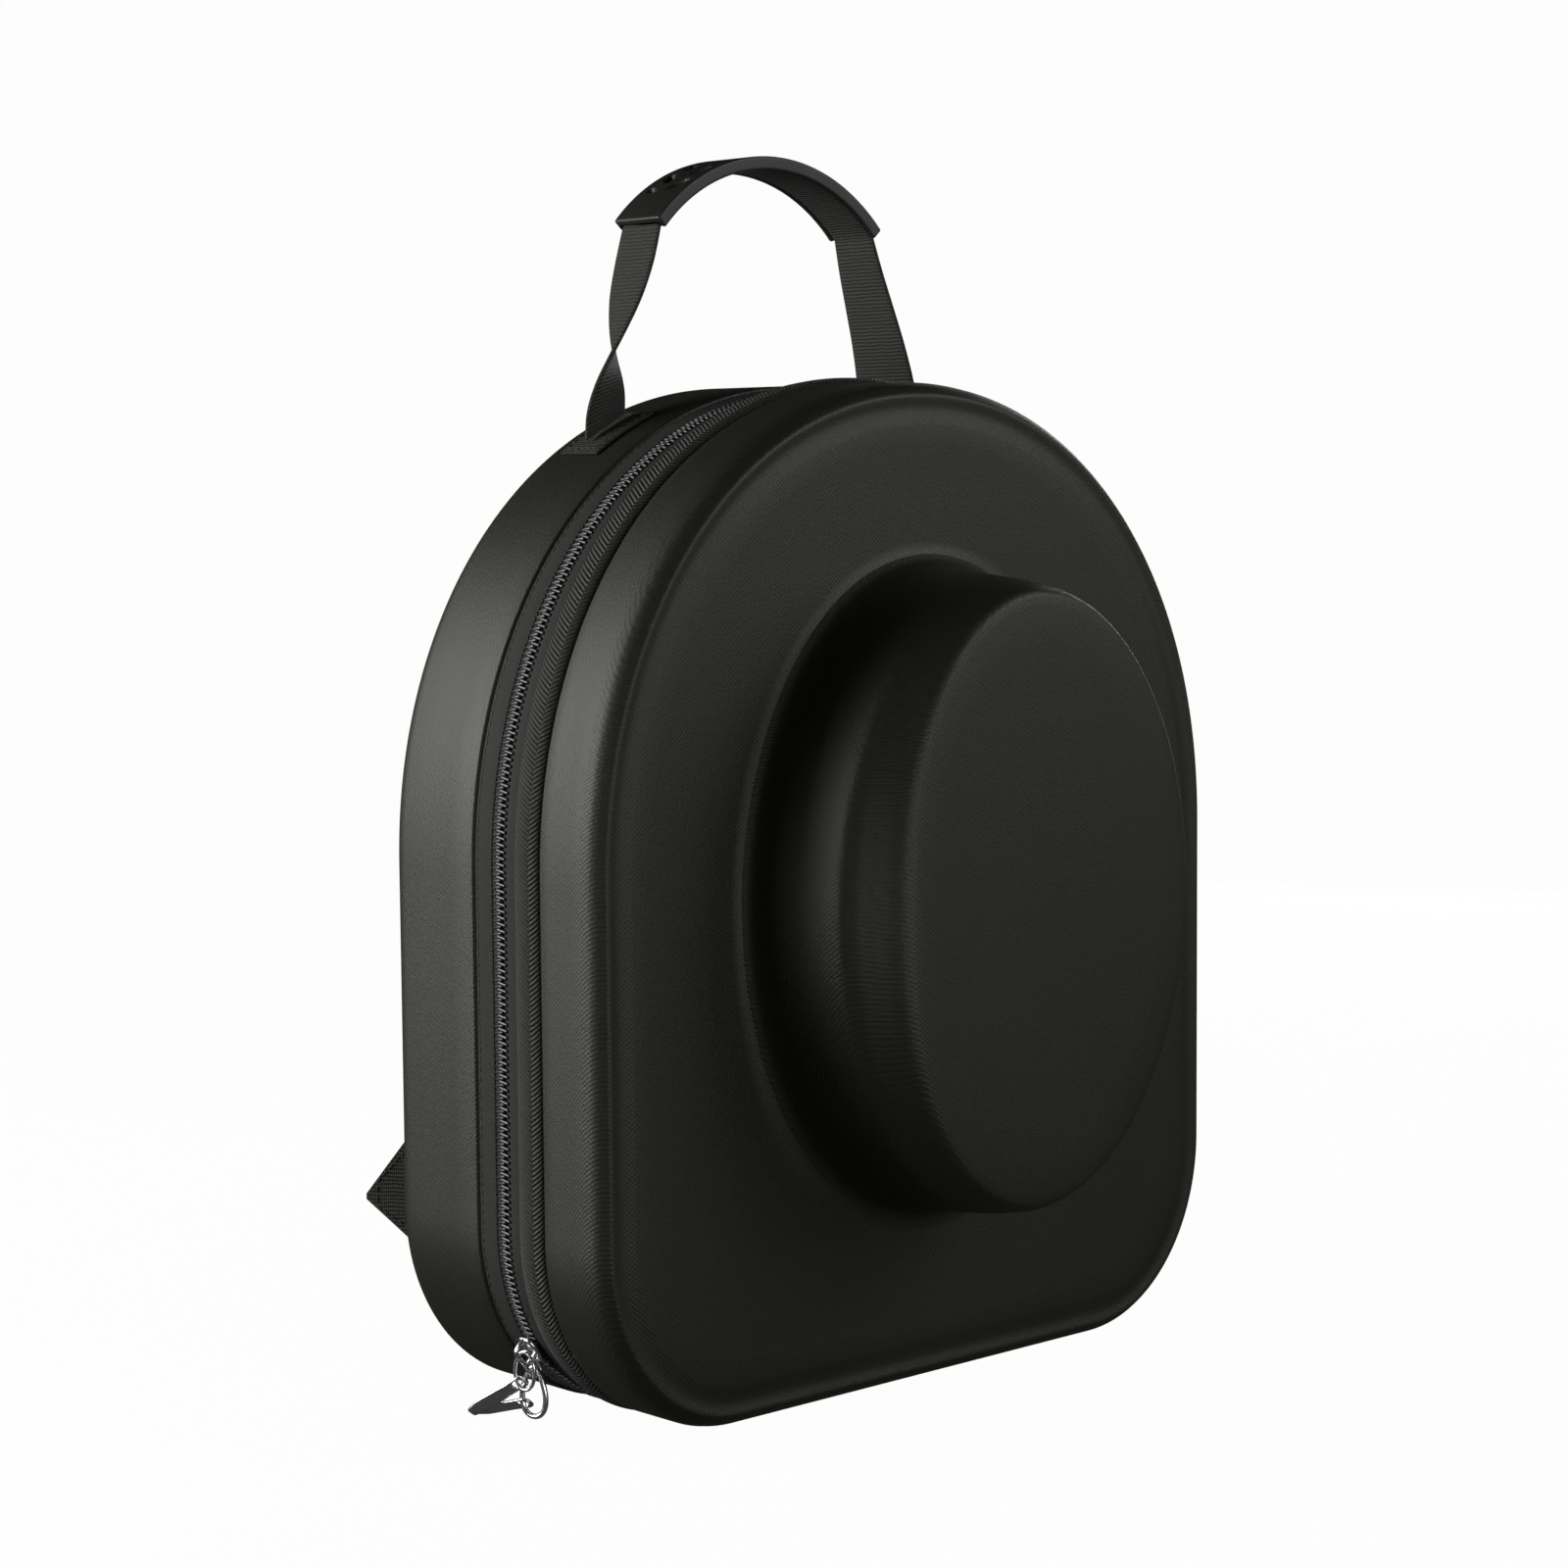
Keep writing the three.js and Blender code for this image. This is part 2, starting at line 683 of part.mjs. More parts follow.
// Place on a hanging ring, turned from its top: a ring hangs from a point and faces a given way across
function ringPlace({ top, across, length, width, narrowing }, turn) {
  const down = (1 - Math.cos(turn)) / 2;
  const spread = Math.sin(turn) * width / 2 * THREE.MathUtils.lerp(1 - narrowing, 1, down);
  return top.clone().addScaledVector(across, spread).addScaledVector(up, -down * length);
}

function ringWay(ring, turn) {
  const step = 0.01;
  return ringPlace(ring, turn + step).sub(ringPlace(ring, turn - step)).normalize();
}

function wireRing(ring) {
  const steps = 16;
  const sides = 6;
  const radius = ring.wire / 2;
  const face = new THREE.Vector3().crossVectors(ring.across, up).normalize();
  const rings = Array.from({ length: steps }, (_, k) => {
    const turn = k / steps * 2 * Math.PI;
    const side = new THREE.Vector3().crossVectors(face, ringWay(ring, turn)).normalize();
    return Array.from({ length: sides }, (__, j) => {
      const angle = j / sides * 2 * Math.PI;
      return ringPlace(ring, turn)
        .addScaledVector(face, radius * Math.cos(angle))
        .addScaledVector(side, radius * Math.sin(angle));
    });
  });
  return loft(rings, true);
}

const hangHeight = sliderPlate + bridgeRise * 0.33;
const pullLoop = {
  top: sliderPlace(-sliderLength * 0.08, 0, hangHeight),
  across: new THREE.Vector3(-0.25, 0.97, 0).normalize(),
  length: loopLength,
  width: loopWidth,
  wire: wireDiameter,
  narrowing: 0.1,
};
const pullDrop = {
  top: sliderPlace(sliderLength / 2 + eyeReach / 4, 0, hangHeight),
  across: new THREE.Vector3(0.3, -0.95, 0).normalize(),
  length: dropLength,
  width: dropWidth,
  wire: dropWire,
  narrowing: 0.5,
};

const loopTabReach = new THREE.Vector3(-0.4, 0.8, -0.4);
const dropTabReach = new THREE.Vector3(-0.3, 0.85, -0.45);

// Pull tab: a flat blade with a round hole, threaded by a ring at a turn and reaching one way. Its wide hole
// lets it lean off the wire.
function pullTab(ring, turn, reach, lean) {
  const wireWay = ringWay(ring, turn);
  const along = reach.clone().addScaledVector(wireWay, -reach.dot(wireWay)).normalize();
  const normal = wireWay.clone().applyAxisAngle(along, lean);
  const aside = new THREE.Vector3().crossVectors(normal, along);
  const bladeRows = [
    { x: -tabHole * 0.8, y: 0.3 },
    { x: -tabHole * 0.4, y: 0.46 },
    { x: tabHole, y: 0.42 },
    { x: tabLength * 0.75, y: 0.5 },
    { x: tabLength, y: 0.3 },
  ];
  const upper = bladeRows.map(({ x, y }) => new THREE.Vector2(x, y * tabWidth));
  const lower = bladeRows.map(({ x, y }) => new THREE.Vector2(x, -y * tabWidth)).reverse();
  const blade = new THREE.Shape([...upper, ...lower]);
  const holeSides = 10;
  blade.holes.push(new THREE.Path(Array.from({ length: holeSides }, (_, k) => {
    const angle = k / holeSides * 2 * Math.PI;
    return new THREE.Vector2(tabHole / 2 * Math.cos(angle), tabHole / 2 * Math.sin(angle));
  })));
  const tab = extrude(blade, tabThickness);
  tab.translate(0, 0, -tabThickness / 2);
  tab.applyMatrix4(new THREE.Matrix4().makeBasis(along, aside, normal).setPosition(ringPlace(ring, turn)));
  return turnOutward(tab);
}

// Materials
const moulded = new THREE.MeshStandardMaterial({ color: 0x23231f, roughness: 0.55, metalness: 0 });
const tapeCloth = new THREE.MeshStandardMaterial({ color: 0x161614, roughness: 0.9, metalness: 0 });
const coilPlastic = new THREE.MeshStandardMaterial({ color: 0x0d0d0d, roughness: 0.35, metalness: 0 });
const pipingCloth = new THREE.MeshStandardMaterial({ color: 0x1a1a18, roughness: 0.8, metalness: 0 });
const webCloth = new THREE.MeshStandardMaterial({ color: 0x1b1b19, roughness: 0.85, metalness: 0 });
const gripRubber = new THREE.MeshStandardMaterial({ color: 0x2a2a28, roughness: 0.6, metalness: 0 });
const brightMetal = new THREE.MeshStandardMaterial({ color: 0xd8d8d8, roughness: 0.15, metalness: 1 });

const hatCase = new THREE.Group();
const assembly = new THREE.Group();
assembly.position.y = originShift;
hatCase.add(assembly);

function addNode(name, geometry, material) {
  const mesh = new THREE.Mesh(geometry, material);
  mesh.name = name;
  assembly.add(mesh);
}

addNode('back_shell', backShell(), moulded);
addNode('lid_shell', lidShell(), moulded);
addNode('zip_tape_back', zipTape(1, backSeam - gap), tapeCloth);
addNode('zip_tape_lid', zipTape(-1, teethDepth + gap + lidTapeWidth), tapeCloth);
addNode('zip_teeth_back', zipTeeth(1), coilPlastic);
addNode('zip_teeth_lid', zipTeeth(-1), coilPlastic);
addNode('piping', piping(), pipingCloth);
addNode('sewn_strip', sewnStrip(), tapeCloth);
addNode('handle_strap', handleStrap(), webCloth);
addNode('handle_grip', handleGrip(), gripRubber);
addNode('handle_patch_left', handlePatch(-1), webCloth);
addNode('handle_patch_right', handlePatch(1), webCloth);
addNode('shoulder_strap_left', shoulderStrap(-1), webCloth);
addNode('shoulder_strap_right', shoulderStrap(1), webCloth);
addNode('strap_yoke', strapYoke(), webCloth);
addNode('strap_wing_left', strapWing(-1), webCloth);
addNode('strap_wing_right', strapWing(1), webCloth);
addNode('zip_slider', zipSlider(), brightMetal);
addNode('pull_loop', wireRing(pullLoop), brightMetal);
addNode('pull_drop', wireRing(pullDrop), brightMetal);
addNode('pull_tab_loop', pullTab(pullLoop, Math.PI * 0.76, loopTabReach, tabLean), brightMetal);
addNode('pull_tab_drop', pullTab(pullDrop, Math.PI * 1.32, dropTabReach, tabLean), brightMetal);

export default hatCase;
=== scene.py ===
"""Looks of the hat case: moulded shells, zip, piping, webbing, grip and bright zip pulls, in metres."""
import math

import bpy
import numpy as np
from mathutils import Matrix, Vector


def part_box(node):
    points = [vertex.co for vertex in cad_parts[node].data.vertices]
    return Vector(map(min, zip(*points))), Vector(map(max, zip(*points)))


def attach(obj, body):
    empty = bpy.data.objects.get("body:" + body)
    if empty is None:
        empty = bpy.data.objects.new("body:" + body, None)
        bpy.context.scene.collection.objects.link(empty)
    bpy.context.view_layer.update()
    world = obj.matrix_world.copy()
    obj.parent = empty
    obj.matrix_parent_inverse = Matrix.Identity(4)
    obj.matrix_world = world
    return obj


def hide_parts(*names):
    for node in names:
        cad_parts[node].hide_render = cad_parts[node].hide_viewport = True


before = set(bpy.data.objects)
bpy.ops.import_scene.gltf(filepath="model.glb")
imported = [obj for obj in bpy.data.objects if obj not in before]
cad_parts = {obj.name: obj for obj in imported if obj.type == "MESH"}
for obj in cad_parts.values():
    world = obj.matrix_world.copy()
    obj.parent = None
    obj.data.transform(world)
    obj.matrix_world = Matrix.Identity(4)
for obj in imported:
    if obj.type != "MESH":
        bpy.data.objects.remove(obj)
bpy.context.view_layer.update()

MM = 0.001
BODY = "root"
SHARP_ANGLE = math.radians(48)

# Body outline, as the solids have it
SHELL_LOW, SHELL_HIGH = (np.array(v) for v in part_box("back_shell"))
LID_LOW, LID_HIGH = (np.array(v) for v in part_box("lid_shell"))
HALF_WIDTH = SHELL_HIGH[0]
BODY_HEIGHT = SHELL_HIGH[2]
CORNER_WIDTH = 60 * MM
CORNER_HEIGHT = 68 * MM
ARCH_HEIGHT = 163 * MM
ARCH_POWER = 2.07
ARCH_START = BODY_HEIGHT - ARCH_HEIGHT
FLAT_HALF = HALF_WIDTH - CORNER_WIDTH

# Depths: the zip plane, the back face and the lid's face and crown
GAP = 0.3 * MM
ZIP_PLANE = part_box("zip_teeth_back")[0][1] - GAP / 2
BACK_FACE = SHELL_HIGH[1]
BACK_SEAM = SHELL_LOW[1]
LID_EDGE = LID_HIGH[1]
CROWN_TOP = LID_LOW[1]
CROWN_RISE = 54 * MM
LID_FACE = CROWN_TOP + CROWN_RISE
SHELL_WALL = 3 * MM
BACK_FILLET = 10 * MM
EDGE_ROUND = 1 * MM
RIM_WIDTH = 15 * MM
RIM_DEPTH = 9 * MM

# Crown
CROWN_WIDTH = 176 * MM
CROWN_HEIGHT = 233 * MM
CROWN_SPREAD = 16 * MM
CROWN_CENTRE = 174.5 * MM
CROWN_LEDGE = 15 * MM

# Zip and piping
TAPE_INSET = 1 * MM
TAPE_THICKNESS = 1.4 * MM
TAPE_CORNER = 0.5 * MM
TEETH_DEPTH = 3.5 * MM
TOOTH_PITCH = 2.2 * MM
TOOTH_RADIUS = 0.62 * MM
TOOTH_HALF = 1.75 * MM
TOOTH_SINK = 0.1 * MM
TOOTH_OFF_PLANE = 1.05 * MM
TOOTH_LEAN = 0.16
TOOTH_DIP = 0.08
PIPING_RADIUS = 3.75 * MM
PIPING_HALF_WIDTH = 6.2 * MM
PIPING_PROUD = 2.25 * MM
PIPING_MIDLINE = 18.5 * MM
PIPING_Y = sum(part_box("piping")[k][1] for k in (0, 1)) / 2
ZIP_END_SHARE = 0.8

# Handle
HANDLE_WIDTH = 20 * MM
HANDLE_Y = (BACK_FACE + BACK_SEAM) / 2
GRIP_RISE = 24 * MM
GRIP_HALF_SPAN = 54.5 * MM
GRIP_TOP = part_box("handle_grip")[1][2]
GRIP_PLATE = 2.6 * MM
GRIP_FLANGE = 4.8 * MM
GRIP_FLANGE_WALL = 1.8 * MM
GRIP_CORNER = 0.8 * MM
GRIP_SPACING = 0.55 * MM
GRIP_END = 1.4 * MM
GRIP_RADIUS = (GRIP_HALF_SPAN ** 2 + GRIP_RISE ** 2) / (2 * GRIP_RISE)
GRIP_ANGLE = math.asin(GRIP_HALF_SPAN / GRIP_RADIUS)
WEB_THICKNESS = 1.6 * MM
STRIP_END_SHARE = 0.72
FOOT_OFFSET = 68.5 * MM
FOOT_WIDTH = 33 * MM
PATCH_LENGTH = 26 * MM
PATCH_WIDTH = 20 * MM
PATCH_THICKNESS = 1.2 * MM
LEAF_RUN = 92 * MM
LEAF_PITCH = 11 * MM
LEAF_LENGTH = 10.5 * MM
LEAF_WIDTH = 4.4 * MM
LEAF_ASIDE = 4.8 * MM
LEAF_TURN = math.radians(38)
LEAF_DEPTH = 2 * MM

# Shoulder straps, wings and yoke
STRAP_WIDTH = 32 * MM
STRAP_THICKNESS = 2 * MM
STRAP_STAND_OFF = 23 * MM
STRAP_TOP_HEIGHT = BODY_HEIGHT - 50 * MM
STRAP_TOP_OFFSET = 28 * MM
STRAP_FOOT_SHARE = 0.3
YOKE_WIDTH = 104 * MM
YOKE_HEIGHT = 34 * MM
YOKE_THICKNESS = 2 * MM
YOKE_CORNER = 3 * MM
WING_LOW = 45 * MM
WING_HIGH = 101.8 * MM
WING_TIP_HEIGHT = 69 * MM
WING_TIP_BLUNT = 2 * MM
WING_TIP_OFFSET = HALF_WIDTH - 3 * MM
WING_BASE_OFFSET = HALF_WIDTH - 18 * MM
WING_REACH = 20 * MM

# Zip slider and its pulls
CHAIN_THICKNESS = 2.4 * MM
SLIDER_SHARE = 0.41
SLIDER_LENGTH = 10 * MM
SLIDER_WIDTH = 8.4 * MM
SLIDER_PLATE = 1.6 * MM
SLIDER_CORNER = 1.4 * MM
BRIDGE_RISE = 5 * MM
BRIDGE_WIDTH = 1.8 * MM
BRIDGE_BAR = 1.3 * MM
BRIDGE_SHARE = 0.31
BAR_SQUARENESS = 0.6
POST_SHARE = 0.9
EYE_REACH = 4.6 * MM
LOOP_WIRE = 0.65 * MM
LOOP_LENGTH = 13 * MM
LOOP_WIDTH = 8.5 * MM
LOOP_NARROWING = 0.1
LOOP_ACROSS = (-0.25, 0.97, 0)
DROP_WIRE = 0.95 * MM
DROP_LENGTH = 17 * MM
DROP_WIDTH = 12 * MM
DROP_NARROWING = 0.5
DROP_ACROSS = (0.3, -0.95, 0)
TAB_LENGTH = 21 * MM
TAB_WIDTH = 6.4 * MM
TAB_THICKNESS = 1 * MM
TAB_CORNER = 1 * MM
TAB_HOLE = 4.2 * MM
TAB_LEAN = 0.7
LOOP_TAB_TURN = 0.76 * math.pi
LOOP_TAB_REACH = np.array([-0.4, 0.8, -0.4])
DROP_TAB_TURN = 1.32 * math.pi
DROP_TAB_REACH = np.array([-0.3, 0.85, -0.45])

# Stitches and threads
PATCH_STITCH_EDGE = 2 * MM
YOKE_STITCH_EDGE = 3 * MM
YOKE_CROSS_NEAR = 12 * MM
YOKE_CROSS_FAR = 44 * MM
SEAM_PITCH = 3.2 * MM
SEAM_STITCH = 2.3 * MM
SEAM_THREAD = 0.28 * MM
SEAM_FROM_EDGE = 1.2 * MM
THREAD_PITCH = 3 * MM
THREAD_STITCH = 2.2 * MM
THREAD_RADIUS = 0.3 * MM
THREAD_LIFT = 0.05 * MM
THREAD_STEP = 0.3 * MM

# Floor, and the light that it throws up at the case
FLOOR_SIZE = 8
FLOOR_GLOW = 0.976
FLOOR_BOUNCE = 0.045
ROOM_LIGHT = 0.004
BACKDROP_GLOW = 0.98
LIGHT_TARGET = Vector((0, 0, 0.18))

# Soft boxes round the case, their azimuth counted from the front
LIGHTS = [
    # name, azimuth, distance, height, width, tall, power
    ("key_high", -130, 1.2, 0.75, 0.7, 0.5, 7.4),
    ("key_low", -130, 1.2, 0.35, 0.7, 0.4, 2.4),
    ("left_mid", -112, 1.1, 0.5, 0.3, 0.35, 3.4),
    ("left_low", -112, 1.0, 0.12, 0.6, 0.2, 2.6),
    ("fill_high", 43, 1.6, 1.1, 1.0, 0.7, 9),
    ("fill_low", 43, 1.6, 0.45, 1.0, 0.5, 1.5),
    ("rim_right", 118, 1.4, 0.45, 0.5, 0.8, 5),
    ("front_high", 0, 1.6, 1.3, 1.0, 0.7, 0.8),
    ("front_low", -10, 1.2, 0.15, 1.0, 0.25, 3.4),
]

# Camera, as the photograph sees the case
VIEW_AZIMUTH = math.radians(-42.93)
VIEW_ELEVATION = math.radians(5.14)
VIEW_ROLL = math.radians(-0.47)
VIEW_DISTANCE = 1.2406
VIEW_ASIDE = -0.01734
VIEW_RAISE = 0.03304
VIEW_TARGET = Vector((0, 0.007, 0.175))
VIEW_LENS = 79.45
SENSOR = 36


# Lengths and directions

def unit(vector):
    return np.asarray(vector, float) / np.linalg.norm(vector)


def units(rows):
    return rows / np.linalg.norm(rows, axis=1)[:, None]


def run_length(points):
    """Length walked along points, at each of them."""
    return np.r_[0, np.cumsum(np.linalg.norm(np.diff(points, axis=0), axis=1))]


def side_name(side):
    return "left" if side < 0 else "right"


# Meshes

def make_object(name, vertices, faces, uv=None, smooth=True):
    """Object from points and faces; uv holds one pair in metres for each point."""
    mesh = bpy.data.meshes.new(name)
    mesh.from_pydata(np.asarray(vertices, float).tolist(), [], [list(f) for f in faces])
    mesh.polygons.foreach_set("use_smooth", [smooth] * len(mesh.polygons))
    if uv is not None:
        layer = mesh.uv_layers.new(name="cloth")
        corners = np.zeros(len(mesh.loops), int)
        mesh.loops.foreach_get("vertex_index", corners)
        layer.data.foreach_set("uv", np.asarray(uv, float)[corners].ravel())
    mesh.update()
    if smooth:
        mesh.set_sharp_from_angle(angle=SHARP_ANGLE)
    piece = bpy.data.objects.new(name, mesh)
    bpy.context.scene.collection.objects.link(piece)
    return piece


def ring_faces(rows, columns, looped=False):
    """Quads between neighbouring rings of points."""
    faces = []
    for r in range(rows if looped else rows - 1):
        here = r * columns
        there = (r + 1) % rows * columns
        for c in range(columns):
            n = (c + 1) % columns
            faces.append((here + c, here + n, there + n, there + c))
    return faces


def outward(vertices, faces):
    """The faces, turned so that the closed body that they bound has its outside outward."""
    points = np.asarray(vertices, float)
    volume = 0.0
    for size in {len(face) for face in faces}:
        rows = points[np.array([face for face in faces if len(face) == size])]
        for k in range(1, size - 1):
            volume += float(np.sum(rows[:, 0] * np.cross(rows[:, k], rows[:, k + 1])))
    return faces if volume > 0 else [tuple(reversed(face)) for face in faces]


def tube_object(name, rings, looped=False, uv=None):
    """Closed body through rings of points: looped along its length, or with both ends closed."""
    rings = np.asarray(rings)
    rows, columns = rings.shape[:2]
    vertices = rings.reshape(-1, 3)
    faces = ring_faces(rows, columns, looped)
    if not looped:
        faces.append(tuple(reversed(range(columns))))
        faces.append(tuple(range((rows - 1) * columns, rows * columns)))
    return make_object(name, vertices, outward(vertices, faces), uv)


def finish_piece(piece, material, slot, *nodes):
    piece.data.materials.append(material)
    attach(piece, BODY)
    if nodes:
        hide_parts(*nodes)


# Outline of the body

def corner_points(side, angle):
    x = side * (FLAT_HALF + CORNER_WIDTH * np.cos(angle))
    z = CORNER_HEIGHT * (1 - np.sin(angle))
    return x, z, side * np.cos(angle) / CORNER_WIDTH, -np.sin(angle) / CORNER_HEIGHT


def arch_out(x, z):
    out_x = np.sign(x) * np.abs(x / HALF_WIDTH) ** (ARCH_POWER - 1) / HALF_WIDTH
    return out_x, (z / ARCH_HEIGHT) ** (ARCH_POWER - 1) / ARCH_HEIGHT


def arch_points(angle):
    across = np.cos(angle)
    x = HALF_WIDTH * np.sign(across) * np.abs(across) ** (2 / ARCH_POWER)
    z = ARCH_HEIGHT * np.abs(np.sin(angle)) ** (2 / ARCH_POWER)
    return x, ARCH_START + z, *arch_out(x, z)


def arch_at(x):
    z = ARCH_HEIGHT * (1 - abs(x / HALF_WIDTH) ** ARCH_POWER) ** (1 / ARCH_POWER)
    return np.r_[x, ARCH_START + z, unit(arch_out(x, z))]


def straight_points(share, x0, z0, x1, z1, out_x, out_z):
    flat = np.ones_like(share)
    return x0 + (x1 - x0) * share, z0 + (z1 - z0) * share, out_x * flat, out_z * flat


STRETCHES = {
    "bottom": lambda s: straight_points(s, -FLAT_HALF, 0, FLAT_HALF, 0, 0, -1),
    "right_corner": lambda s: corner_points(1, (1 - s) * math.pi / 2),
    "right_side": lambda s: straight_points(s, HALF_WIDTH, CORNER_HEIGHT, HALF_WIDTH, ARCH_START, 1, 0),
    "arch": lambda s: arch_points(s * math.pi),
    "left_side": lambda s: straight_points(s, -HALF_WIDTH, ARCH_START, -HALF_WIDTH, CORNER_HEIGHT, -1, 0),
    "left_corner": lambda s: corner_points(-1, s * math.pi / 2),
}
LOOP_ORDER = ("bottom", "right_corner", "right_side", "arch", "left_side", "left_corner")


def walk(order, count, first=0.0, last=1.0, closed=True):
    """Evenly spaced points on the outline as x, z, outward x, outward z and the length walked."""
    fine = 600
    columns = []
    for stretch in order:
        low = first if stretch == order[0] else 0.0
        high = last if stretch == order[-1] else 1.0
        share = np.linspace(low, high, fine)
        columns.append(np.stack(STRETCHES[stretch](share), 1)[:-1])
    end = np.stack(STRETCHES[order[-1]](np.array([last])), 1)
    path = np.vstack(columns + [end])
    path[:, 2:] = units(path[:, 2:])
    length = run_length(path[:, :2])
    at = np.linspace(0, length[-1], count, endpoint=not closed)
    out = np.stack([np.interp(at, length, path[:, k]) for k in range(4)], 1)
    out[:, 2:] = units(out[:, 2:])
    return np.c_[out, at]


def inset_points(path, inset, y):
    x = path[:, 0] - path[:, 2] * inset
    z = path[:, 1] - path[:, 3] * inset
    return np.stack([x, np.broadcast_to(y, x.shape), z], 1)


ZIP_ORDER = ("right_corner", "right_side", "arch", "left_side", "left_corner")


def zip_walk(count):
    return walk(ZIP_ORDER, count, first=1 - ZIP_END_SHARE, last=ZIP_END_SHARE, closed=False)


def curve_rows(rows, slope, per_step):
    """Rows of a table joined by a curve that has the given slope at each."""
    out = []
    for k in range(len(rows) - 1):
        for t in np.linspace(0, 1, per_step, endpoint=False):
            a = 2 * t ** 3 - 3 * t ** 2 + 1
            b = t ** 3 - 2 * t ** 2 + t
            c = -2 * t ** 3 + 3 * t ** 2
            d = t ** 3 - t ** 2
            out.append(a * rows[k] + b * slope[k] + c * rows[k + 1] + d * slope[k + 1])
    out.append(rows[-1])
    return np.array(out)


def spline_rows(rows, per_step):
    """Rows of a table joined by an even curve, which may swing a little past them."""
    rows = np.asarray(rows, float)
    slope = (np.vstack([rows[1:], rows[-1:]]) - np.vstack([rows[:1], rows[:-1]])) / 2
    return curve_rows(rows, slope, per_step)


def smooth_rows(rows, per_step):
    """Rows of a table joined by a curve that doesn't swing past them."""
    rows = np.asarray(rows, float)
    steps = np.diff(rows, axis=0)
    slope = np.zeros_like(rows)
    agree = steps[:-1] * steps[1:] > 0
    harmonic = 2 * steps[:-1] * steps[1:] / np.where(agree, steps[:-1] + steps[1:], 1)
    slope[1:-1] = np.where(agree, harmonic, 0)
    slope[0], slope[-1] = steps[0], steps[-1]
    return curve_rows(rows, slope, per_step)


# Shells

def fillet_rows(radius, steps):
    turn = np.linspace(0, math.pi / 2, steps + 1)
    return np.stack([radius * (1 - np.cos(turn)), radius * (1 - np.sin(turn))], 1)


def closed_shell(name, rings):
    """Shell through rings from its outer middle over the edge to its inner middle."""
    rings = np.asarray(rings)
    rows, columns = rings.shape[:2]
    vertices = rings.reshape(-1, 3)
    middles = np.stack([rings[0].mean(0), rings[-1].mean(0)])
    faces = ring_faces(rows, columns)
    first = rows * columns
    for k in range(columns):
        n = (k + 1) % columns
        faces.append((first, n, k))
        faces.append((first + 1, (rows - 1) * columns + k, (rows - 1) * columns + n))
    vertices = np.vstack([vertices, middles])
    uv = vertices[:, [0, 2]]
    return make_object(name, vertices, outward(vertices, faces), uv)


LOOP_COUNT = 360


def shell_edge(path, y, way):
    """Rounded edge of a shell: rings from the outer side over the edge to the inner side."""
    half = SHELL_WALL / 2
    return [inset_points(path, half - half * math.cos(turn), y + way * EDGE_ROUND * (1 - math.sin(turn)))
            for turn in np.linspace(0, math.pi, 7)]


def shell_middle(y):
    return np.array([0, y, CROWN_CENTRE])


def between(ring_a, ring_b, shares):
    return [ring_a + (ring_b - ring_a) * share for share in shares]


def back_shell():
    path = walk(LOOP_ORDER, LOOP_COUNT)
    outside = inset_points(path, BACK_FILLET, BACK_FACE)
    rings = between(shell_middle(BACK_FACE), outside, (0.04, 0.2, 0.4, 0.6, 0.8, 0.92))
    for inset, below in fillet_rows(BACK_FILLET, 14)[::-1]:
        rings.append(inset_points(path, inset, BACK_FACE - below))
    for share in (0.3, 0.7):
        y = (1 - share) * (BACK_FACE - BACK_FILLET) + share * (BACK_SEAM + EDGE_ROUND)
        rings.append(inset_points(path, 0, y))
    rings += shell_edge(path, BACK_SEAM, 1)
    inner_face = BACK_FACE - SHELL_WALL
    for inset, below in fillet_rows(BACK_FILLET - SHELL_WALL, 8):
        rings.append(inset_points(path, inset + SHELL_WALL, inner_face - below))
    inside = inset_points(path, BACK_FILLET, inner_face)
    rings += between(shell_middle(inner_face), inside, (0.9, 0.6, 0.3, 0.04))
    return closed_shell("back_shell_skin", rings)


# Rim of the lid: shares of its width and depth, over a low roll and groove to the face
RIM_TABLE = [
    # inset, below
    (0.00, 1.00),
    (0.05, 0.62),
    (0.17, 0.28),
    (0.34, 0.06),
    (0.60, 0.12),
    (1.00, 0.00),
]

# Crown: shares of its spread and rise, and of the soft ledge that its left side has under the top
CROWN_TABLE = [
    # inset, rise, ledge
    (0.00, 0.00, 0.00),
    (0.16, 0.05, 0.00),
    (0.28, 0.16, 0.00),
    (0.38, 0.35, 0.00),
    (0.44, 0.55, 0.02),
    (0.49, 0.68, 0.07),
    (0.53, 0.76, 0.24),
    (0.57, 0.83, 0.50),
    (0.62, 0.90, 0.76),
    (0.70, 0.96, 0.92),
    (0.82, 0.99, 1.00),
    (1.00, 1.00, 1.00),
]


def crown_ring(path, inset, y, ledge):
    angle = np.arctan2(path[:, 1] - CROWN_CENTRE, path[:, 0])
    across = CROWN_WIDTH / 2 - inset
    tall = CROWN_HEIGHT / 2 - inset
    left = np.maximum(-np.cos(angle), 0) ** 1.5
    reach = 1 / np.hypot(np.cos(angle) / across, np.sin(angle) / tall) - ledge * left
    return np.stack([reach * np.cos(angle), np.broadcast_to(y, angle.shape),
                     CROWN_CENTRE + reach * np.sin(angle)], 1)


def crown_rows(per_step):
    rows = smooth_rows(CROWN_TABLE, per_step)
    return np.stack([rows[:, 0] * CROWN_SPREAD, LID_FACE - rows[:, 1] * CROWN_RISE,
                     rows[:, 2] * CROWN_LEDGE], 1)


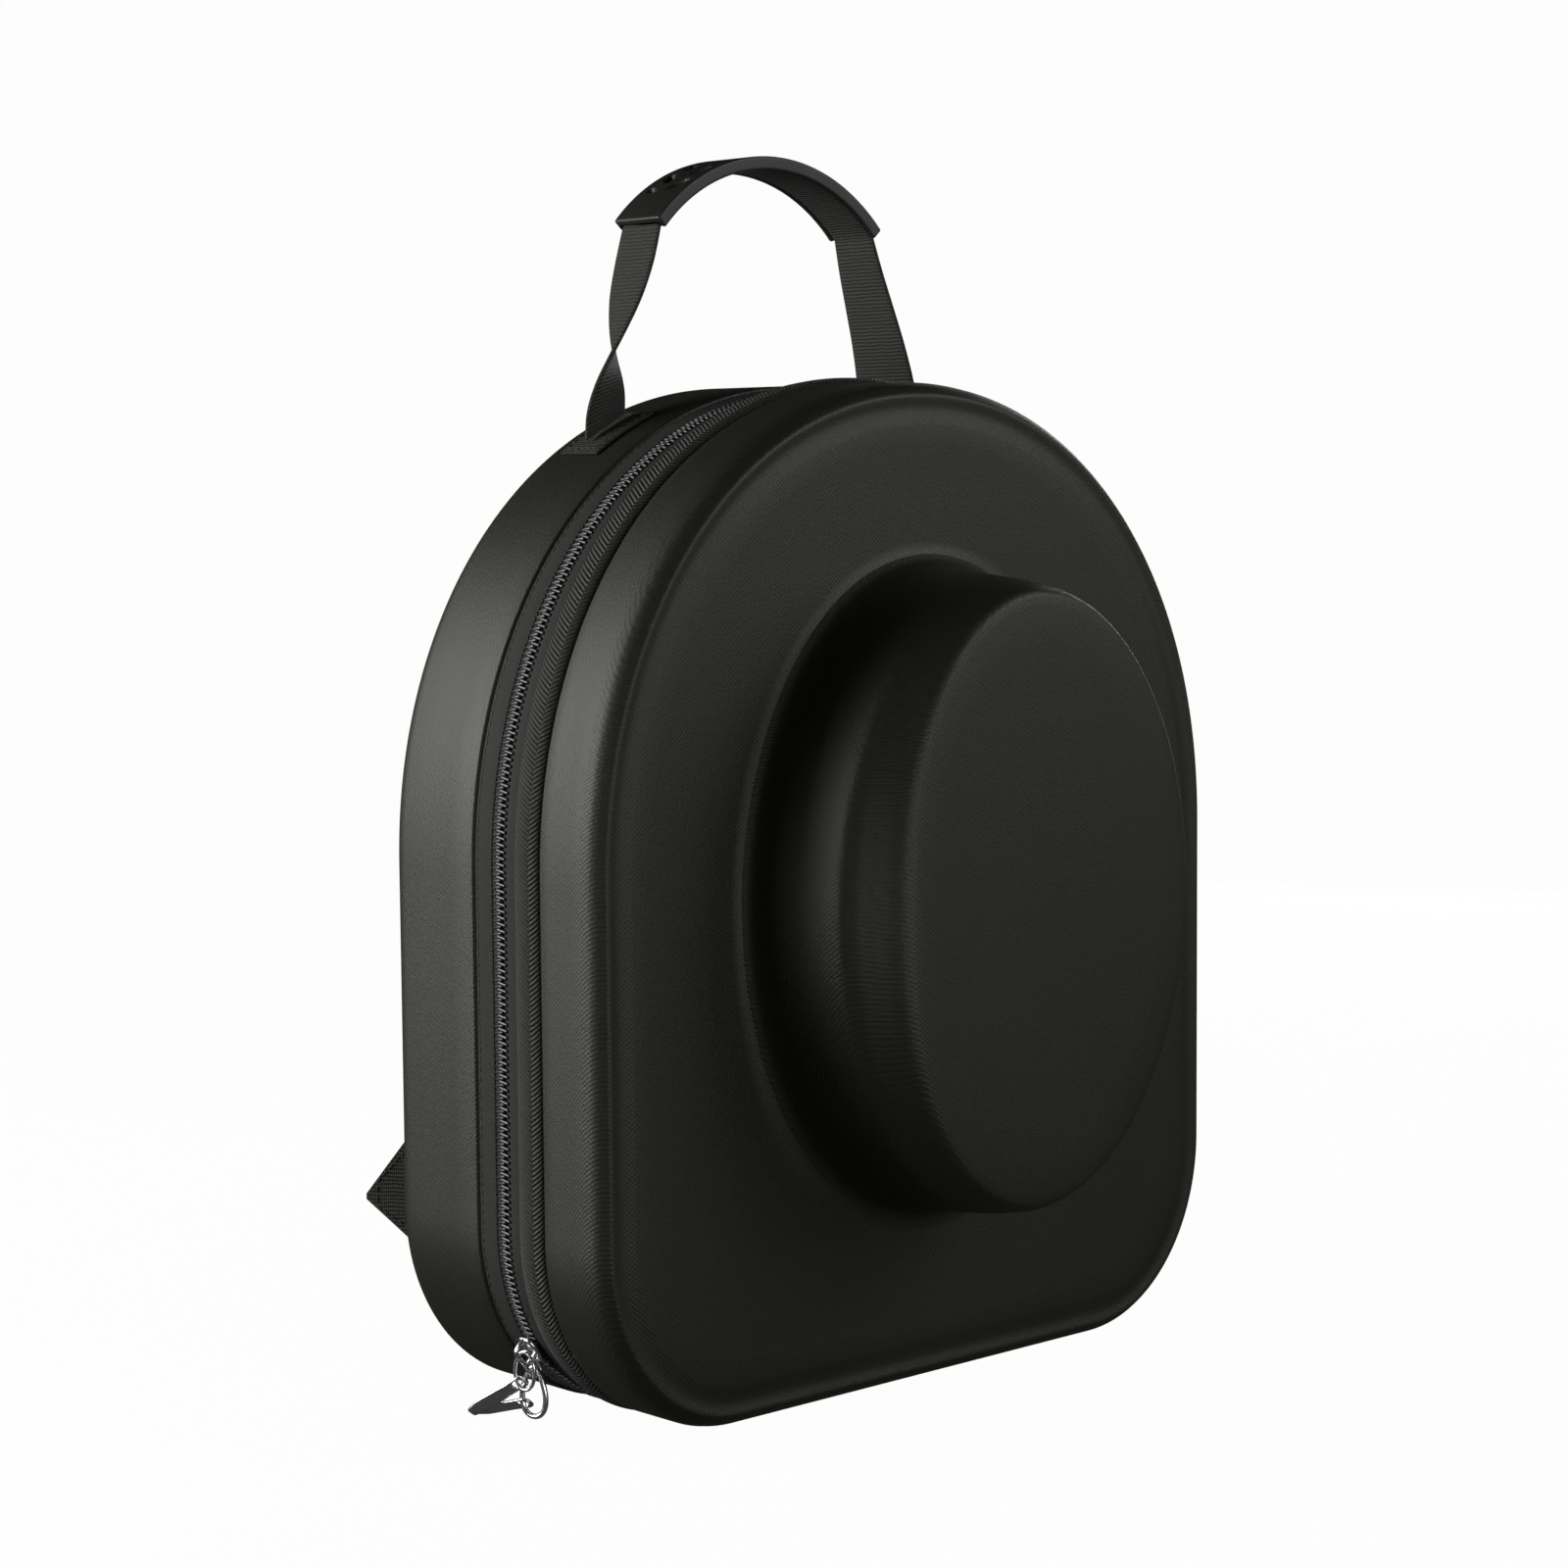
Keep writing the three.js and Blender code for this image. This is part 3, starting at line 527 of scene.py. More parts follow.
def lid_shell():
    path = walk(LOOP_ORDER, LOOP_COUNT)
    rim = smooth_rows(RIM_TABLE, 7)
    crown = crown_rows(8)
    outer = shell_edge(path, LID_EDGE, -1)[::-1]
    side_end = LID_FACE + RIM_DEPTH
    for share in (0.25, 0.5, 0.75):
        outer.append(inset_points(path, 0, LID_EDGE + (side_end - LID_EDGE) * share))
    outer += [inset_points(path, inset * RIM_WIDTH, LID_FACE + below * RIM_DEPTH) for inset, below in rim]
    outer += between(outer[-1], crown_ring(path, *crown[0]), (0.15, 0.4, 0.7, 0.9))
    outer += [crown_ring(path, *row) for row in crown]
    outer += between(shell_middle(CROWN_TOP), outer[-1], (0.85, 0.6, 0.35, 0.15, 0.03))
    inner = []
    for inset, below in smooth_rows(RIM_TABLE, 2):
        deep = LID_FACE + SHELL_WALL + below * RIM_DEPTH
        inner.append(inset_points(path, SHELL_WALL + inset * (RIM_WIDTH - SHELL_WALL), deep))
    inner.append(crown_ring(path, 0, LID_FACE + SHELL_WALL, 0))
    run = np.gradient(crown[:, 0] + crown[:, 2] / 2)
    rise = -np.gradient(crown[:, 1])
    length = np.hypot(run, rise)
    for k in range(4, len(crown), 3):
        inset = crown[k, 0] + SHELL_WALL * rise[k] / length[k]
        inner.append(crown_ring(path, inset, crown[k, 1] + SHELL_WALL * run[k] / length[k], crown[k, 2]))
    inner += between(shell_middle(CROWN_TOP + SHELL_WALL), inner[-1], (0.6, 0.2, 0.03))
    return closed_shell("lid_shell_skin", outer[::-1] + inner)


# Materials

class Nodes:
    """Short way to build a material's node tree."""

    def __init__(self, name):
        self.material = bpy.data.materials.new(name)
        self.material.use_nodes = True
        self.tree = self.material.node_tree
        self.shader = self.tree.nodes["Principled BSDF"]

    def add(self, kind, **values):
        node = self.tree.nodes.new(kind)
        for key, value in values.items():
            if key in node.inputs:
                node.inputs[key].default_value = value
            else:
                setattr(node, key, value)
        return node

    def link(self, source, target):
        self.tree.links.new(source, target)

    def fed(self, kind, place, **values):
        node = self.add(kind, **values)
        self.link(place, node.inputs["Vector"])
        return node

    def noise(self, place, scale, detail=3, rough=0.5):
        node = self.fed("ShaderNodeTexNoise", place, Scale=scale, Detail=detail, Roughness=rough)
        return node.outputs["Fac"]

    def waves(self, place, scale, distortion=0.0, direction="DIAGONAL"):
        values = {"Scale": scale, "Distortion": distortion, "bands_direction": direction}
        return self.fed("ShaderNodeTexWave", place, **values).outputs["Fac"]

    def object_place(self):
        return self.add("ShaderNodeTexCoord").outputs["Object"]

    def cloth_place(self):
        return self.add("ShaderNodeUVMap", uv_map="cloth").outputs["UV"]

    def moved(self, place, scale=(1, 1, 1), turn=(0, 0, 0)):
        return self.fed("ShaderNodeMapping", place, Scale=scale, Rotation=turn).outputs["Vector"]

    def chevron_place(self, place, middle, slope):
        """Cloth coordinates that run back on both sides of a middle line."""
        parts = self.add("ShaderNodeSeparateXYZ")
        self.link(place, parts.inputs[0])
        off = self.math("ABSOLUTE", self.math("SUBTRACT", parts.outputs["X"], middle), 0)
        along = self.total((parts.outputs["Y"], 1), (off, slope))
        joined = self.add("ShaderNodeCombineXYZ")
        self.link(parts.outputs["X"], joined.inputs["X"])
        self.link(along, joined.inputs["Y"])
        return joined.outputs[0]

    def math(self, operation, a, b):
        node = self.add("ShaderNodeMath", operation=operation)
        for socket, value in zip(node.inputs, (a, b)):
            if isinstance(value, (int, float)):
                socket.default_value = value
            else:
                self.link(value, socket)
        return node.outputs[0]

    def total(self, *rows):
        """Sum of factors, each times its weight."""
        out = None
        for factor, weight in rows:
            part = factor if weight == 1 else self.math("MULTIPLY", factor, weight)
            out = part if out is None else self.math("ADD", out, part)
        return out

    def spread(self, factor, low, high):
        node = self.add("ShaderNodeMapRange")
        node.inputs["To Min"].default_value = low
        node.inputs["To Max"].default_value = high
        self.link(factor, node.inputs["Value"])
        return node.outputs["Result"]

    def colours(self, factor, dark, light):
        node = self.add("ShaderNodeMix", data_type="RGBA")
        self.link(factor, node.inputs["Factor"])
        sockets = [s for s in node.inputs if s.type == "RGBA"]
        sockets[0].default_value = (*dark, 1)
        sockets[1].default_value = (*light, 1)
        return [s for s in node.outputs if s.type == "RGBA"][0]

    def bump(self, height, distance, strength):
        node = self.add("ShaderNodeBump", Strength=strength, Distance=distance)
        self.link(height, node.inputs["Height"])
        return node.outputs["Normal"]

    def finish(self, colour, roughness, normal, **constants):
        self.link(colour, self.shader.inputs["Base Color"])
        if isinstance(roughness, (int, float)):
            self.shader.inputs["Roughness"].default_value = roughness
        else:
            self.link(roughness, self.shader.inputs["Roughness"])
        if normal is not None:
            self.link(normal, self.shader.inputs["Normal"])
        for name, value in constants.items():
            self.shader.inputs[name.replace("_", " ")].default_value = value
        return self.material


def moulded_cloth():
    """Fine twill pressed over foam, with a soft satin sheen."""
    n = Nodes("moulded_cloth")
    place = n.object_place()
    grain = n.noise(place, 800, detail=4, rough=0.65)
    mottle = n.noise(place, 14, detail=4)
    twill = n.waves(place, 400, distortion=1.2)
    cross = n.waves(n.moved(place, scale=(-1, -1, 1)), 365, distortion=1.5)
    height = n.total((twill, 0.55), (cross, 0.35), (grain, 1.6))
    tint = n.total((mottle, 0.3), (height, 0.32))
    colour = n.colours(tint, (0.0040, 0.0047, 0.0024), (0.0146, 0.0162, 0.0092))
    rough = n.spread(n.total((grain, 0.5), (mottle, 0.5)), 0.40, 0.62)
    normal = n.bump(height, 0.0001, 0.8)
    return n.finish(colour, rough, normal, Specular_IOR_Level=0.5, Specular_Tint=(0.98, 1, 0.93, 1))


def woven_tape():
    n = Nodes("woven_tape")
    place = n.cloth_place()
    ribs = n.waves(n.moved(place, turn=(0, 0, math.radians(38))), 300, distortion=0.6, direction="X")
    fuzz = n.noise(n.object_place(), 1400, detail=3)
    height = n.total((ribs, 1), (fuzz, 0.8))
    colour = n.colours(n.math("MULTIPLY", height, 0.6), (0.010, 0.011, 0.009), (0.034, 0.036, 0.031))
    return n.finish(colour, 0.75, n.bump(height, 0.00022, 0.8), Specular_IOR_Level=0.4)


def piping_cloth():
    """Herringbone cloth: its ribs turn along the cord's outer side."""
    n = Nodes("piping_cloth")
    place = n.cloth_place()
    rows = n.waves(n.chevron_place(place, PIPING_MIDLINE, 0.75), 190, distortion=0.6, direction="Y")
    fuzz = n.noise(n.object_place(), 1600, detail=3)
    height = n.total((rows, 1), (fuzz, 0.7))
    colour = n.colours(n.math("MULTIPLY", height, 0.6), (0.004, 0.0045, 0.0035), (0.062, 0.064, 0.056))
    return n.finish(colour, 0.6, n.bump(height, 0.0007, 1.0), Specular_IOR_Level=0.45)


def ribbed_webbing():
    n = Nodes("ribbed_webbing")
    place = n.cloth_place()
    sway = n.noise(n.moved(place, scale=(60, 220, 1)), 1, detail=2)
    ribs = n.waves(place, 235, distortion=2.2, direction="Y")
    threads = n.waves(place, 520, distortion=0.8, direction="X")
    fuzz = n.noise(n.object_place(), 1300, detail=3)
    height = n.total((ribs, 1), (threads, 0.35), (fuzz, 0.6))
    tone = n.total((height, 0.42), (sway, 0.2))
    colour = n.colours(tone, (0.005, 0.0055, 0.0045), (0.044, 0.046, 0.040))
    return n.finish(colour, 0.72, n.bump(height, 0.0003, 0.9), Specular_IOR_Level=0.4)


def grip_rubber():
    n = Nodes("grip_rubber")
    place = n.object_place()
    grain = n.noise(place, 1500, detail=4)
    mottle = n.noise(place, 60, detail=3)
    colour = n.colours(mottle, (0.009, 0.0095, 0.008), (0.017, 0.018, 0.015))
    rough = n.spread(mottle, 0.42, 0.56)
    return n.finish(colour, rough, n.bump(grain, 0.00006, 0.5), Specular_IOR_Level=0.5)


def coil_plastic():
    n = Nodes("coil_plastic")
    mottle = n.noise(n.object_place(), 300, detail=2)
    colour = n.colours(mottle, (0.016, 0.016, 0.016), (0.034, 0.034, 0.032))
    return n.finish(colour, n.spread(mottle, 0.26, 0.40), None, Specular_IOR_Level=0.7)


def stitch_thread():
    n = Nodes("stitch_thread")
    twist = n.noise(n.object_place(), 2600, detail=2)
    colour = n.colours(twist, (0.008, 0.008, 0.0075), (0.03, 0.03, 0.028))
    return n.finish(colour, 0.6, n.bump(twist, 0.0001, 0.6))


def bright_metal():
    n = Nodes("bright_metal")
    place = n.object_place()
    wear = n.noise(place, 700, detail=4)
    colour = n.colours(wear, (0.80, 0.80, 0.80), (0.95, 0.95, 0.95))
    return n.finish(colour, n.spread(wear, 0.16, 0.30), n.bump(wear, 0.00003, 0.4), Metallic=1.0)


# Zip

def cloth_map(around, path):
    """Cloth coordinates in metres: round a band's section, and along its path."""
    shape = (len(path), len(around))
    along = np.broadcast_to(path[:, 4:5], shape)
    return np.stack([np.broadcast_to(around, shape), along], 2).reshape(-1, 2)


def band_object(name, path, section):
    """Band along a run of the outline through a closed section of (inset, y) corners."""
    section = np.asarray(section)
    rings = np.stack([inset_points(path, inset, y) for inset, y in section], 1)
    return tube_object(name, rings, uv=cloth_map(run_length(section), path))


def tape_section(y_low, y_high, lip_low=0.0, lip_high=0.0):
    """Section of a tape with rounded corners, whose inner side can reach past its outer side."""
    low, high = y_low + TAPE_CORNER, y_high - TAPE_CORNER
    outer = TAPE_INSET + TAPE_CORNER
    inner = TAPE_INSET + TAPE_THICKNESS - TAPE_CORNER
    points = []
    for inset, y, quarter in ((outer, low, 2), (inner, low - lip_low, 3), (inner, high + lip_high, 0),
                              (outer, high, 1)):
        for turn in (np.linspace(0, 1, 4) + quarter) * math.pi / 2:
            points.append((inset + TAPE_CORNER * math.cos(turn), y + TAPE_CORNER * math.sin(turn)))
    return points


def zip_tapes(material):
    """Both tapes: their inner sides reach in under the coil, and their outer ones into the seams."""
    run = zip_walk(420)
    inner = TEETH_DEPTH + GAP
    lip = TEETH_DEPTH + GAP / 2
    back = tape_section(ZIP_PLANE + inner, BACK_SEAM + GAP, lip_low=lip)
    lid = tape_section(PIPING_Y + PIPING_HALF_WIDTH - GAP, ZIP_PLANE - inner, lip_high=lip)
    for side, section in (("back", back), ("lid", lid)):
        tape = band_object(f"zip_tape_{side}_weave", run, section)
        finish_piece(tape, material, "zip_tape", f"zip_tape_{side}")


def sewn_strip(material):
    """Strip of tape that closes the gap between the zip's two ends under the case."""
    corner_length = math.pi / 4 * (CORNER_WIDTH + CORNER_HEIGHT)
    start = ZIP_END_SHARE + 2 * GAP / corner_length
    run = walk(("left_corner", "bottom", "right_corner"), 160, first=start, last=1 - start, closed=False)
    section = tape_section(PIPING_Y + PIPING_HALF_WIDTH + GAP, BACK_SEAM - GAP)
    finish_piece(band_object("sewn_strip_weave", run, section), material, "zip_tape", "sewn_strip")


def capsule(radius, half, sides=8, rounds=3):
    """Points and faces of a capsule along its first axis."""
    turn = np.linspace(0, math.pi / 2, rounds + 1)[:-1]
    along = np.r_[-half - radius * np.cos(turn), half + radius * np.cos(turn[::-1])]
    wide = np.r_[radius * np.sin(turn), radius * np.sin(turn[::-1])]
    wide[0] = wide[-1] = radius * 0.2
    along = np.insert(along, rounds, [-half, half])
    wide = np.insert(wide, rounds, [radius, radius])
    ring = np.linspace(0, 2 * math.pi, sides, endpoint=False)
    points = np.stack([np.broadcast_to(along[:, None], (len(along), sides)),
                       wide[:, None] * np.cos(ring), wide[:, None] * np.sin(ring)], 2).reshape(-1, 3)
    faces = ring_faces(len(along), sides)
    faces.append(tuple(reversed(range(sides))))
    faces.append(tuple(range((len(along) - 1) * sides, len(along) * sides)))
    return points, outward(points, faces)


def scatter(name, shape, places):
    """One mesh of a small shape copied to many places: each has an origin and three axes."""
    points, faces = shape
    vertices = []
    copies = []
    for k, (origin, axes) in enumerate(places):
        vertices.append(points @ np.asarray(axes) + origin)
        shift = k * len(points)
        copies += [tuple(shift + v for v in face) for face in faces]
    return make_object(name, np.vstack(vertices), copies)


def zip_coil(material):
    """Two rows of coil teeth that mesh in the zip's plane."""
    count = int(zip_walk(2)[-1, 4] / TOOTH_PITCH)
    run = zip_walk(2 * count)
    shape = capsule(TOOTH_RADIUS, TOOTH_HALF)
    for side, row in ((1, "back"), (-1, "lid")):
        places = []
        for x, z, out_x, out_z, _ in run[0 if side > 0 else 1::2]:
            out = np.array([out_x, 0, out_z])
            along = np.array([-out_z, 0, out_x])
            slant = unit((0.0, side, 0.0) + TOOTH_LEAN * along - TOOTH_DIP * out)
            aside = unit(np.cross(slant, out))
            origin = np.array([x, ZIP_PLANE + side * TOOTH_OFF_PLANE, z]) - out * (TAPE_INSET + TOOTH_SINK)
            places.append((origin, np.stack([slant, aside, np.cross(slant, aside)])))
        finish_piece(scatter(f"coil_{row}", shape, places), material, "zip_coil", f"zip_teeth_{row}")


def seam_stitches(material):
    """Row of stitches along the back tape, beside the shell's edge."""
    run = zip_walk(int(zip_walk(2)[-1, 4] / SEAM_PITCH))
    shape = capsule(SEAM_THREAD, SEAM_STITCH / 2 - SEAM_THREAD, sides=6, rounds=2)
    deep = np.array([0.0, 1, 0])
    places = []
    for x, z, out_x, out_z, _ in run:
        along = np.array([-out_z, 0, out_x])
        origin = (x - out_x * TAPE_INSET, BACK_SEAM - SEAM_FROM_EDGE, z - out_z * TAPE_INSET)
        places.append((origin, np.stack([along, deep, np.cross(along, deep)])))
    finish_piece(scatter("seam_stitches", shape, places), material, "zip_tape")


def piping(material):
    path = walk(LOOP_ORDER, 480)
    sides = 18
    pressed = np.maximum(-path[:, 3], 0) ** 2
    centre = (PIPING_RADIUS - PIPING_PROUD) * (1 - pressed) + PIPING_RADIUS * pressed
    rings = []
    for k in range(sides):
        turn = k / sides * 2 * math.pi
        rings.append(inset_points(path, centre + PIPING_RADIUS * math.cos(turn),
                                  PIPING_Y + PIPING_HALF_WIDTH * math.sin(turn)))
    rings = np.stack(rings, 1)
    around = np.arange(sides) / sides * math.pi * (PIPING_RADIUS + PIPING_HALF_WIDTH)
    cord = tube_object("piping_cord", rings, looped=True, uv=cloth_map(around, path))
    finish_piece(cord, material, "piping_cloth", "piping")


# Handle

def rounded_loop(corners, radius, steps=4, spacing=None):
    """Closed loop of points with its corners rounded, and long sides split where a spacing is given."""
    corners = np.asarray(corners, float)
    points = []
    count = len(corners)
    for k in range(count):
        here = corners[k]
        before = corners[k - 1] - here
        after = corners[(k + 1) % count] - here
        cut = min(radius, 0.45 * np.linalg.norm(before), 0.45 * np.linalg.norm(after))
        start = here + unit(before) * cut
        end = here + unit(after) * cut
        for t in np.linspace(0, 1, steps + 1):
            points.append((1 - t) ** 2 * start + 2 * t * (1 - t) * here + t ** 2 * end)
    if spacing is None:
        return np.array(points)
    fine = []
    for k, point in enumerate(points):
        step = points[(k + 1) % len(points)] - point
        pieces = max(1, int(np.linalg.norm(step) / spacing))
        fine += [point + step * j / pieces for j in range(pieces)]
    return np.array(fine)


def loop_inward(loop, depth):
    """Closed loop moved towards its inside."""
    step = np.roll(loop, -1, 0) - np.roll(loop, 1, 0)
    normal = units(np.stack([-step[:, 1], step[:, 0]], 1))
    area = float(np.sum(loop[:, 0] * np.roll(loop[:, 1], -1) - np.roll(loop[:, 0], -1) * loop[:, 1]))
    return loop + normal * depth * (1 if area > 0 else -1)


def strip_object(name, centres, across, widths, thickness):
    """Flat strip of webbing with rounded edges; its width direction and width may be one for all rows."""
    centres = np.asarray(centres)
    across = units(np.broadcast_to(np.asarray(across, float), centres.shape))
    widths = np.broadcast_to(widths, len(centres))
    face = units(np.cross(np.gradient(centres, axis=0), across))
    half = thickness / 2
    inner = np.linspace(-1, 1, 9)
    edge = np.linspace(-math.pi / 2, math.pi / 2, 5)
    profile = [(a, 0.0, -1.0) for a in inner]
    profile += [(1.0, math.cos(t), math.sin(t)) for t in edge[1:-1]]
    profile += [(a, 0.0, 1.0) for a in inner[::-1]]
    profile += [(-1.0, -math.cos(t), -math.sin(t)) for t in edge[1:-1]]
    length = run_length(centres)
    rings, uv = [], []
    for k in range(len(centres)):
        thin = STRIP_END_SHARE if k in (0, len(centres) - 1) else 1.0
        for a, out, b in profile:
            flat = a * (widths[k] / 2 - half)
            point = centres[k] + across[k] * (flat + out * half * thin) + face[k] * b * half * thin
            rings.append(point)
            uv.append((flat + out * half, length[k]))
    rings = np.array(rings).reshape(len(centres), len(profile), 3)
    return tube_object(name, rings, uv=uv)


def grip_point(angle, under):
    reach = GRIP_RADIUS - under
    return np.array([reach * math.sin(angle), HANDLE_Y, GRIP_TOP - GRIP_RADIUS + reach * math.cos(angle)])


def leaf_dents(along, across):
    """Depth of the two rows of slanted leaf-shaped dents pressed in the top of the grip."""
    if abs(along) > LEAF_RUN / 2:
        return 0.0
    deepest = 0.0
    for side in (-1, 1):
        pitch_at = along / LEAF_PITCH + side / 4
        near = round(pitch_at)
        for k in (near - 1, near, near + 1):
            u = (pitch_at - k) * LEAF_PITCH
            v = across - side * LEAF_ASIDE
            turn = side * LEAF_TURN
            a = (u * math.cos(turn) + v * math.sin(turn)) / (LEAF_LENGTH / 2)
            b = (-u * math.sin(turn) + v * math.cos(turn)) / (LEAF_WIDTH / 2)
            if abs(a) < 1:
                edge = abs(b) / (1 - a * a) ** 0.9
                if edge < 1:
                    deepest = max(deepest, (1 - edge ** 2) ** 0.5 * min(1.0, 2.5 * (1 - abs(a))))
    return deepest * LEAF_DEPTH


def handle_grip():
    outside = HANDLE_WIDTH / 2 + GAP + GRIP_FLANGE_WALL
    inside = HANDLE_WIDTH / 2 + GAP
    corners = [(-outside, 0), (outside, 0), (outside, GRIP_FLANGE), (inside, GRIP_FLANGE),
               (inside, GRIP_PLATE), (-inside, GRIP_PLATE), (-inside, GRIP_FLANGE), (-outside, GRIP_FLANGE)]
    loop = rounded_loop(corners, GRIP_CORNER, steps=4, spacing=GRIP_SPACING)
    arc = 2 * GRIP_ANGLE * GRIP_RADIUS
    ends = np.array([0, 0.15, 0.4, 0.8]) * MM
    middle = np.linspace(GRIP_END, arc - GRIP_END, 210)
    rings = []
    for at in np.r_[ends, middle, (arc - ends)[::-1]]:
        end = min(at, arc - at)
        shrink = GRIP_CORNER - math.sqrt(max(0.0, GRIP_CORNER ** 2 - max(0.0, GRIP_CORNER - end) ** 2))
        shape = loop_inward(loop, shrink * 0.8)
        angle = at / GRIP_RADIUS - GRIP_ANGLE
        ring = []
        for (y, under), (_, flat) in zip(shape, loop):
            dent = leaf_dents(at - arc / 2, y) if flat < 0.01 * MM and abs(y) < outside - MM else 0.0
            point = grip_point(angle, under + dent)
            ring.append(point + np.array([0, y, 0]))
        rings.append(ring)
    return tube_object("grip_skin", rings)


# Legs of the handle: the way from foot to grip, width and turn of the webbing, and how far it leans out
LEG_TABLE = [
    # rise, flare, left_turn, lean
    (0.00, 1.00, 90, 0.00),
    (0.10, 0.90, 84, 0.10),
    (0.22, 0.78, 66, 0.16),
    (0.34, 0.66, 46, 0.18),
    (0.48, 0.52, 28, 0.16),
    (0.64, 0.36, 13, 0.10),
    (0.82, 0.18, 4, 0.03),
    (1.00, 0.00, 0, 0.00),
]


def handle_strap():
    lift = PATCH_THICKNESS + 2 * GAP + WEB_THICKNESS / 2
    under = GRIP_PLATE + GAP + WEB_THICKNESS / 2
    legs = {}
    for side in (-1, 1):
        ground = arch_at(side * FOOT_OFFSET)
        start = np.array([ground[0] + ground[2] * lift, HANDLE_Y, ground[1] + ground[3] * lift])
        end = grip_point(side * GRIP_ANGLE, under)
        rows = []
        for rise, flare, left_turn, lean in spline_rows(LEG_TABLE, 7):
            centre = start + (end - start) * rise
            centre[0] += side * lean * (FOOT_OFFSET - GRIP_HALF_SPAN)
            turn = math.radians(left_turn) if side < 0 else 0.0
            slope = -ground[2] / ground[3] * max(1 - rise, 0) ** 4
            across = (math.sin(turn), math.cos(turn), math.sin(turn) * slope)
            shrink = 1 + (PATCH_WIDTH / FOOT_WIDTH - 1) * left_turn / 90 if side < 0 else 1.0
            rows.append((centre, across, (HANDLE_WIDTH + (FOOT_WIDTH - HANDLE_WIDTH) * flare) * shrink))
        legs[side] = rows
    arc = [(grip_point(angle, under), (0, 1, 0), HANDLE_WIDTH)
           for angle in np.linspace(-GRIP_ANGLE, GRIP_ANGLE, 42)[1:-1]]
    rows = legs[-1] + arc + legs[1][::-1]
    centres, across, widths = zip(*rows)
    return strip_object("handle_webbing", centres, across, widths, WEB_THICKNESS)


def handle_patch(side):
    rows = []
    for x in np.linspace(-0.5, 0.5, 13) * PATCH_LENGTH + side * FOOT_OFFSET:
        ground = arch_at(x)
        lift = GAP + PATCH_THICKNESS / 2
        rows.append((ground[0] + ground[2] * lift, HANDLE_Y, ground[1] + ground[3] * lift))
    width = PATCH_WIDTH if side < 0 else FOOT_WIDTH
    name = f"handle_patch_{side_name(side)}_cloth"
    return strip_object(name, rows, (0, 1, 0), width, PATCH_THICKNESS)


def thread_along(name, lines, material):
    """Stitches along lines of points, each with the direction that the thread lies out on."""
    shape = capsule(THREAD_RADIUS, THREAD_STITCH / 2 - THREAD_RADIUS, sides=6, rounds=2)
    places = []
    for points, out in lines:
        points = np.asarray(points, float)
        steps = run_length(points)
        count = max(2, int(steps[-1] / THREAD_PITCH))
        for at in (np.arange(count) + 0.5) / count * steps[-1]:
            origin, ahead, behind = (
                np.array([np.interp(at + shift, steps, points[:, k]) for k in range(3)])
                for shift in (0, THREAD_STEP, -THREAD_STEP))
            way = unit(ahead - behind)
            lift = unit(np.cross(np.cross(way, out), way))
            places.append((origin, np.stack([way, lift, np.cross(way, lift)])))
    finish_piece(scatter(name, shape, places), material, "webbing")


def patch_stitches(material):
    """Box stitches through both patches under the feet of the handle."""
    lines = []
    for side in (-1, 1):
        width = (PATCH_WIDTH if side < 0 else FOOT_WIDTH) / 2 - PATCH_STITCH_EDGE
        half = PATCH_LENGTH / 2 - PATCH_STITCH_EDGE
        lift = GAP + PATCH_THICKNESS + THREAD_LIFT

        def on_patch(u, v):
            ground = arch_at(side * FOOT_OFFSET + u)
            return (ground[0] + ground[2] * lift, HANDLE_Y + v, ground[1] + ground[3] * lift)

        out = arch_at(side * FOOT_OFFSET)
        out = np.array([out[2], 0, out[3]])
        span = np.linspace(-1, 1, 9)
        lines += [([on_patch(half * t, v) for t in span], out) for v in (-width, width)]
        lines += [([on_patch(u, width * t) for t in span], out) for u in (-half, half)]
    thread_along("patch_stitches", lines, material)


# Shoulder straps, wings and yoke
STRAP_TABLE = [
    # rise, aside, off
    (0.00, 0.00, STRAP_FOOT_SHARE),
    (0.05, 0.08, 0.45),
    (0.12, 0.17, 0.75),
    (0.20, 0.28, 0.95),
    (0.32, 0.44, 1.00),
    (0.50, 0.66, 0.90),
    (0.70, 0.86, 0.66),
    (0.86, 0.97, 0.32),
    (0.95, 1.00, 0.10),
    (1.00, 1.00, 0.00),
]


def wing_offset(off):
    """Distance of a wing's outer face from the case's middle, at a depth off the back."""
    share = (off - GAP) / (WING_REACH - GAP)
    return WING_BASE_OFFSET + (WING_TIP_OFFSET - WING_BASE_OFFSET) * share


def shoulder_strap(side):
    low = GAP + STRAP_THICKNESS / 2
    foot = low + (STRAP_STAND_OFF - low) * STRAP_FOOT_SHARE
    start = wing_offset(foot - STRAP_THICKNESS / 2) - STRAP_THICKNESS - GAP - STRAP_WIDTH / 2
    rows = []
    for rise, aside, off in spline_rows(STRAP_TABLE, 7):
        x = start + (STRAP_TOP_OFFSET - start) * min(aside, 1.0)
        y = BACK_FACE + low + (STRAP_STAND_OFF - low) * min(max(off, 0.0), 1.0)
        z = WING_TIP_HEIGHT + (STRAP_TOP_HEIGHT - WING_TIP_HEIGHT) * rise
        rows.append((side * x, y, z))
    name = f"shoulder_webbing_{side_name(side)}"
    return strip_object(name, rows, (side, 0, 0), STRAP_WIDTH, STRAP_THICKNESS)


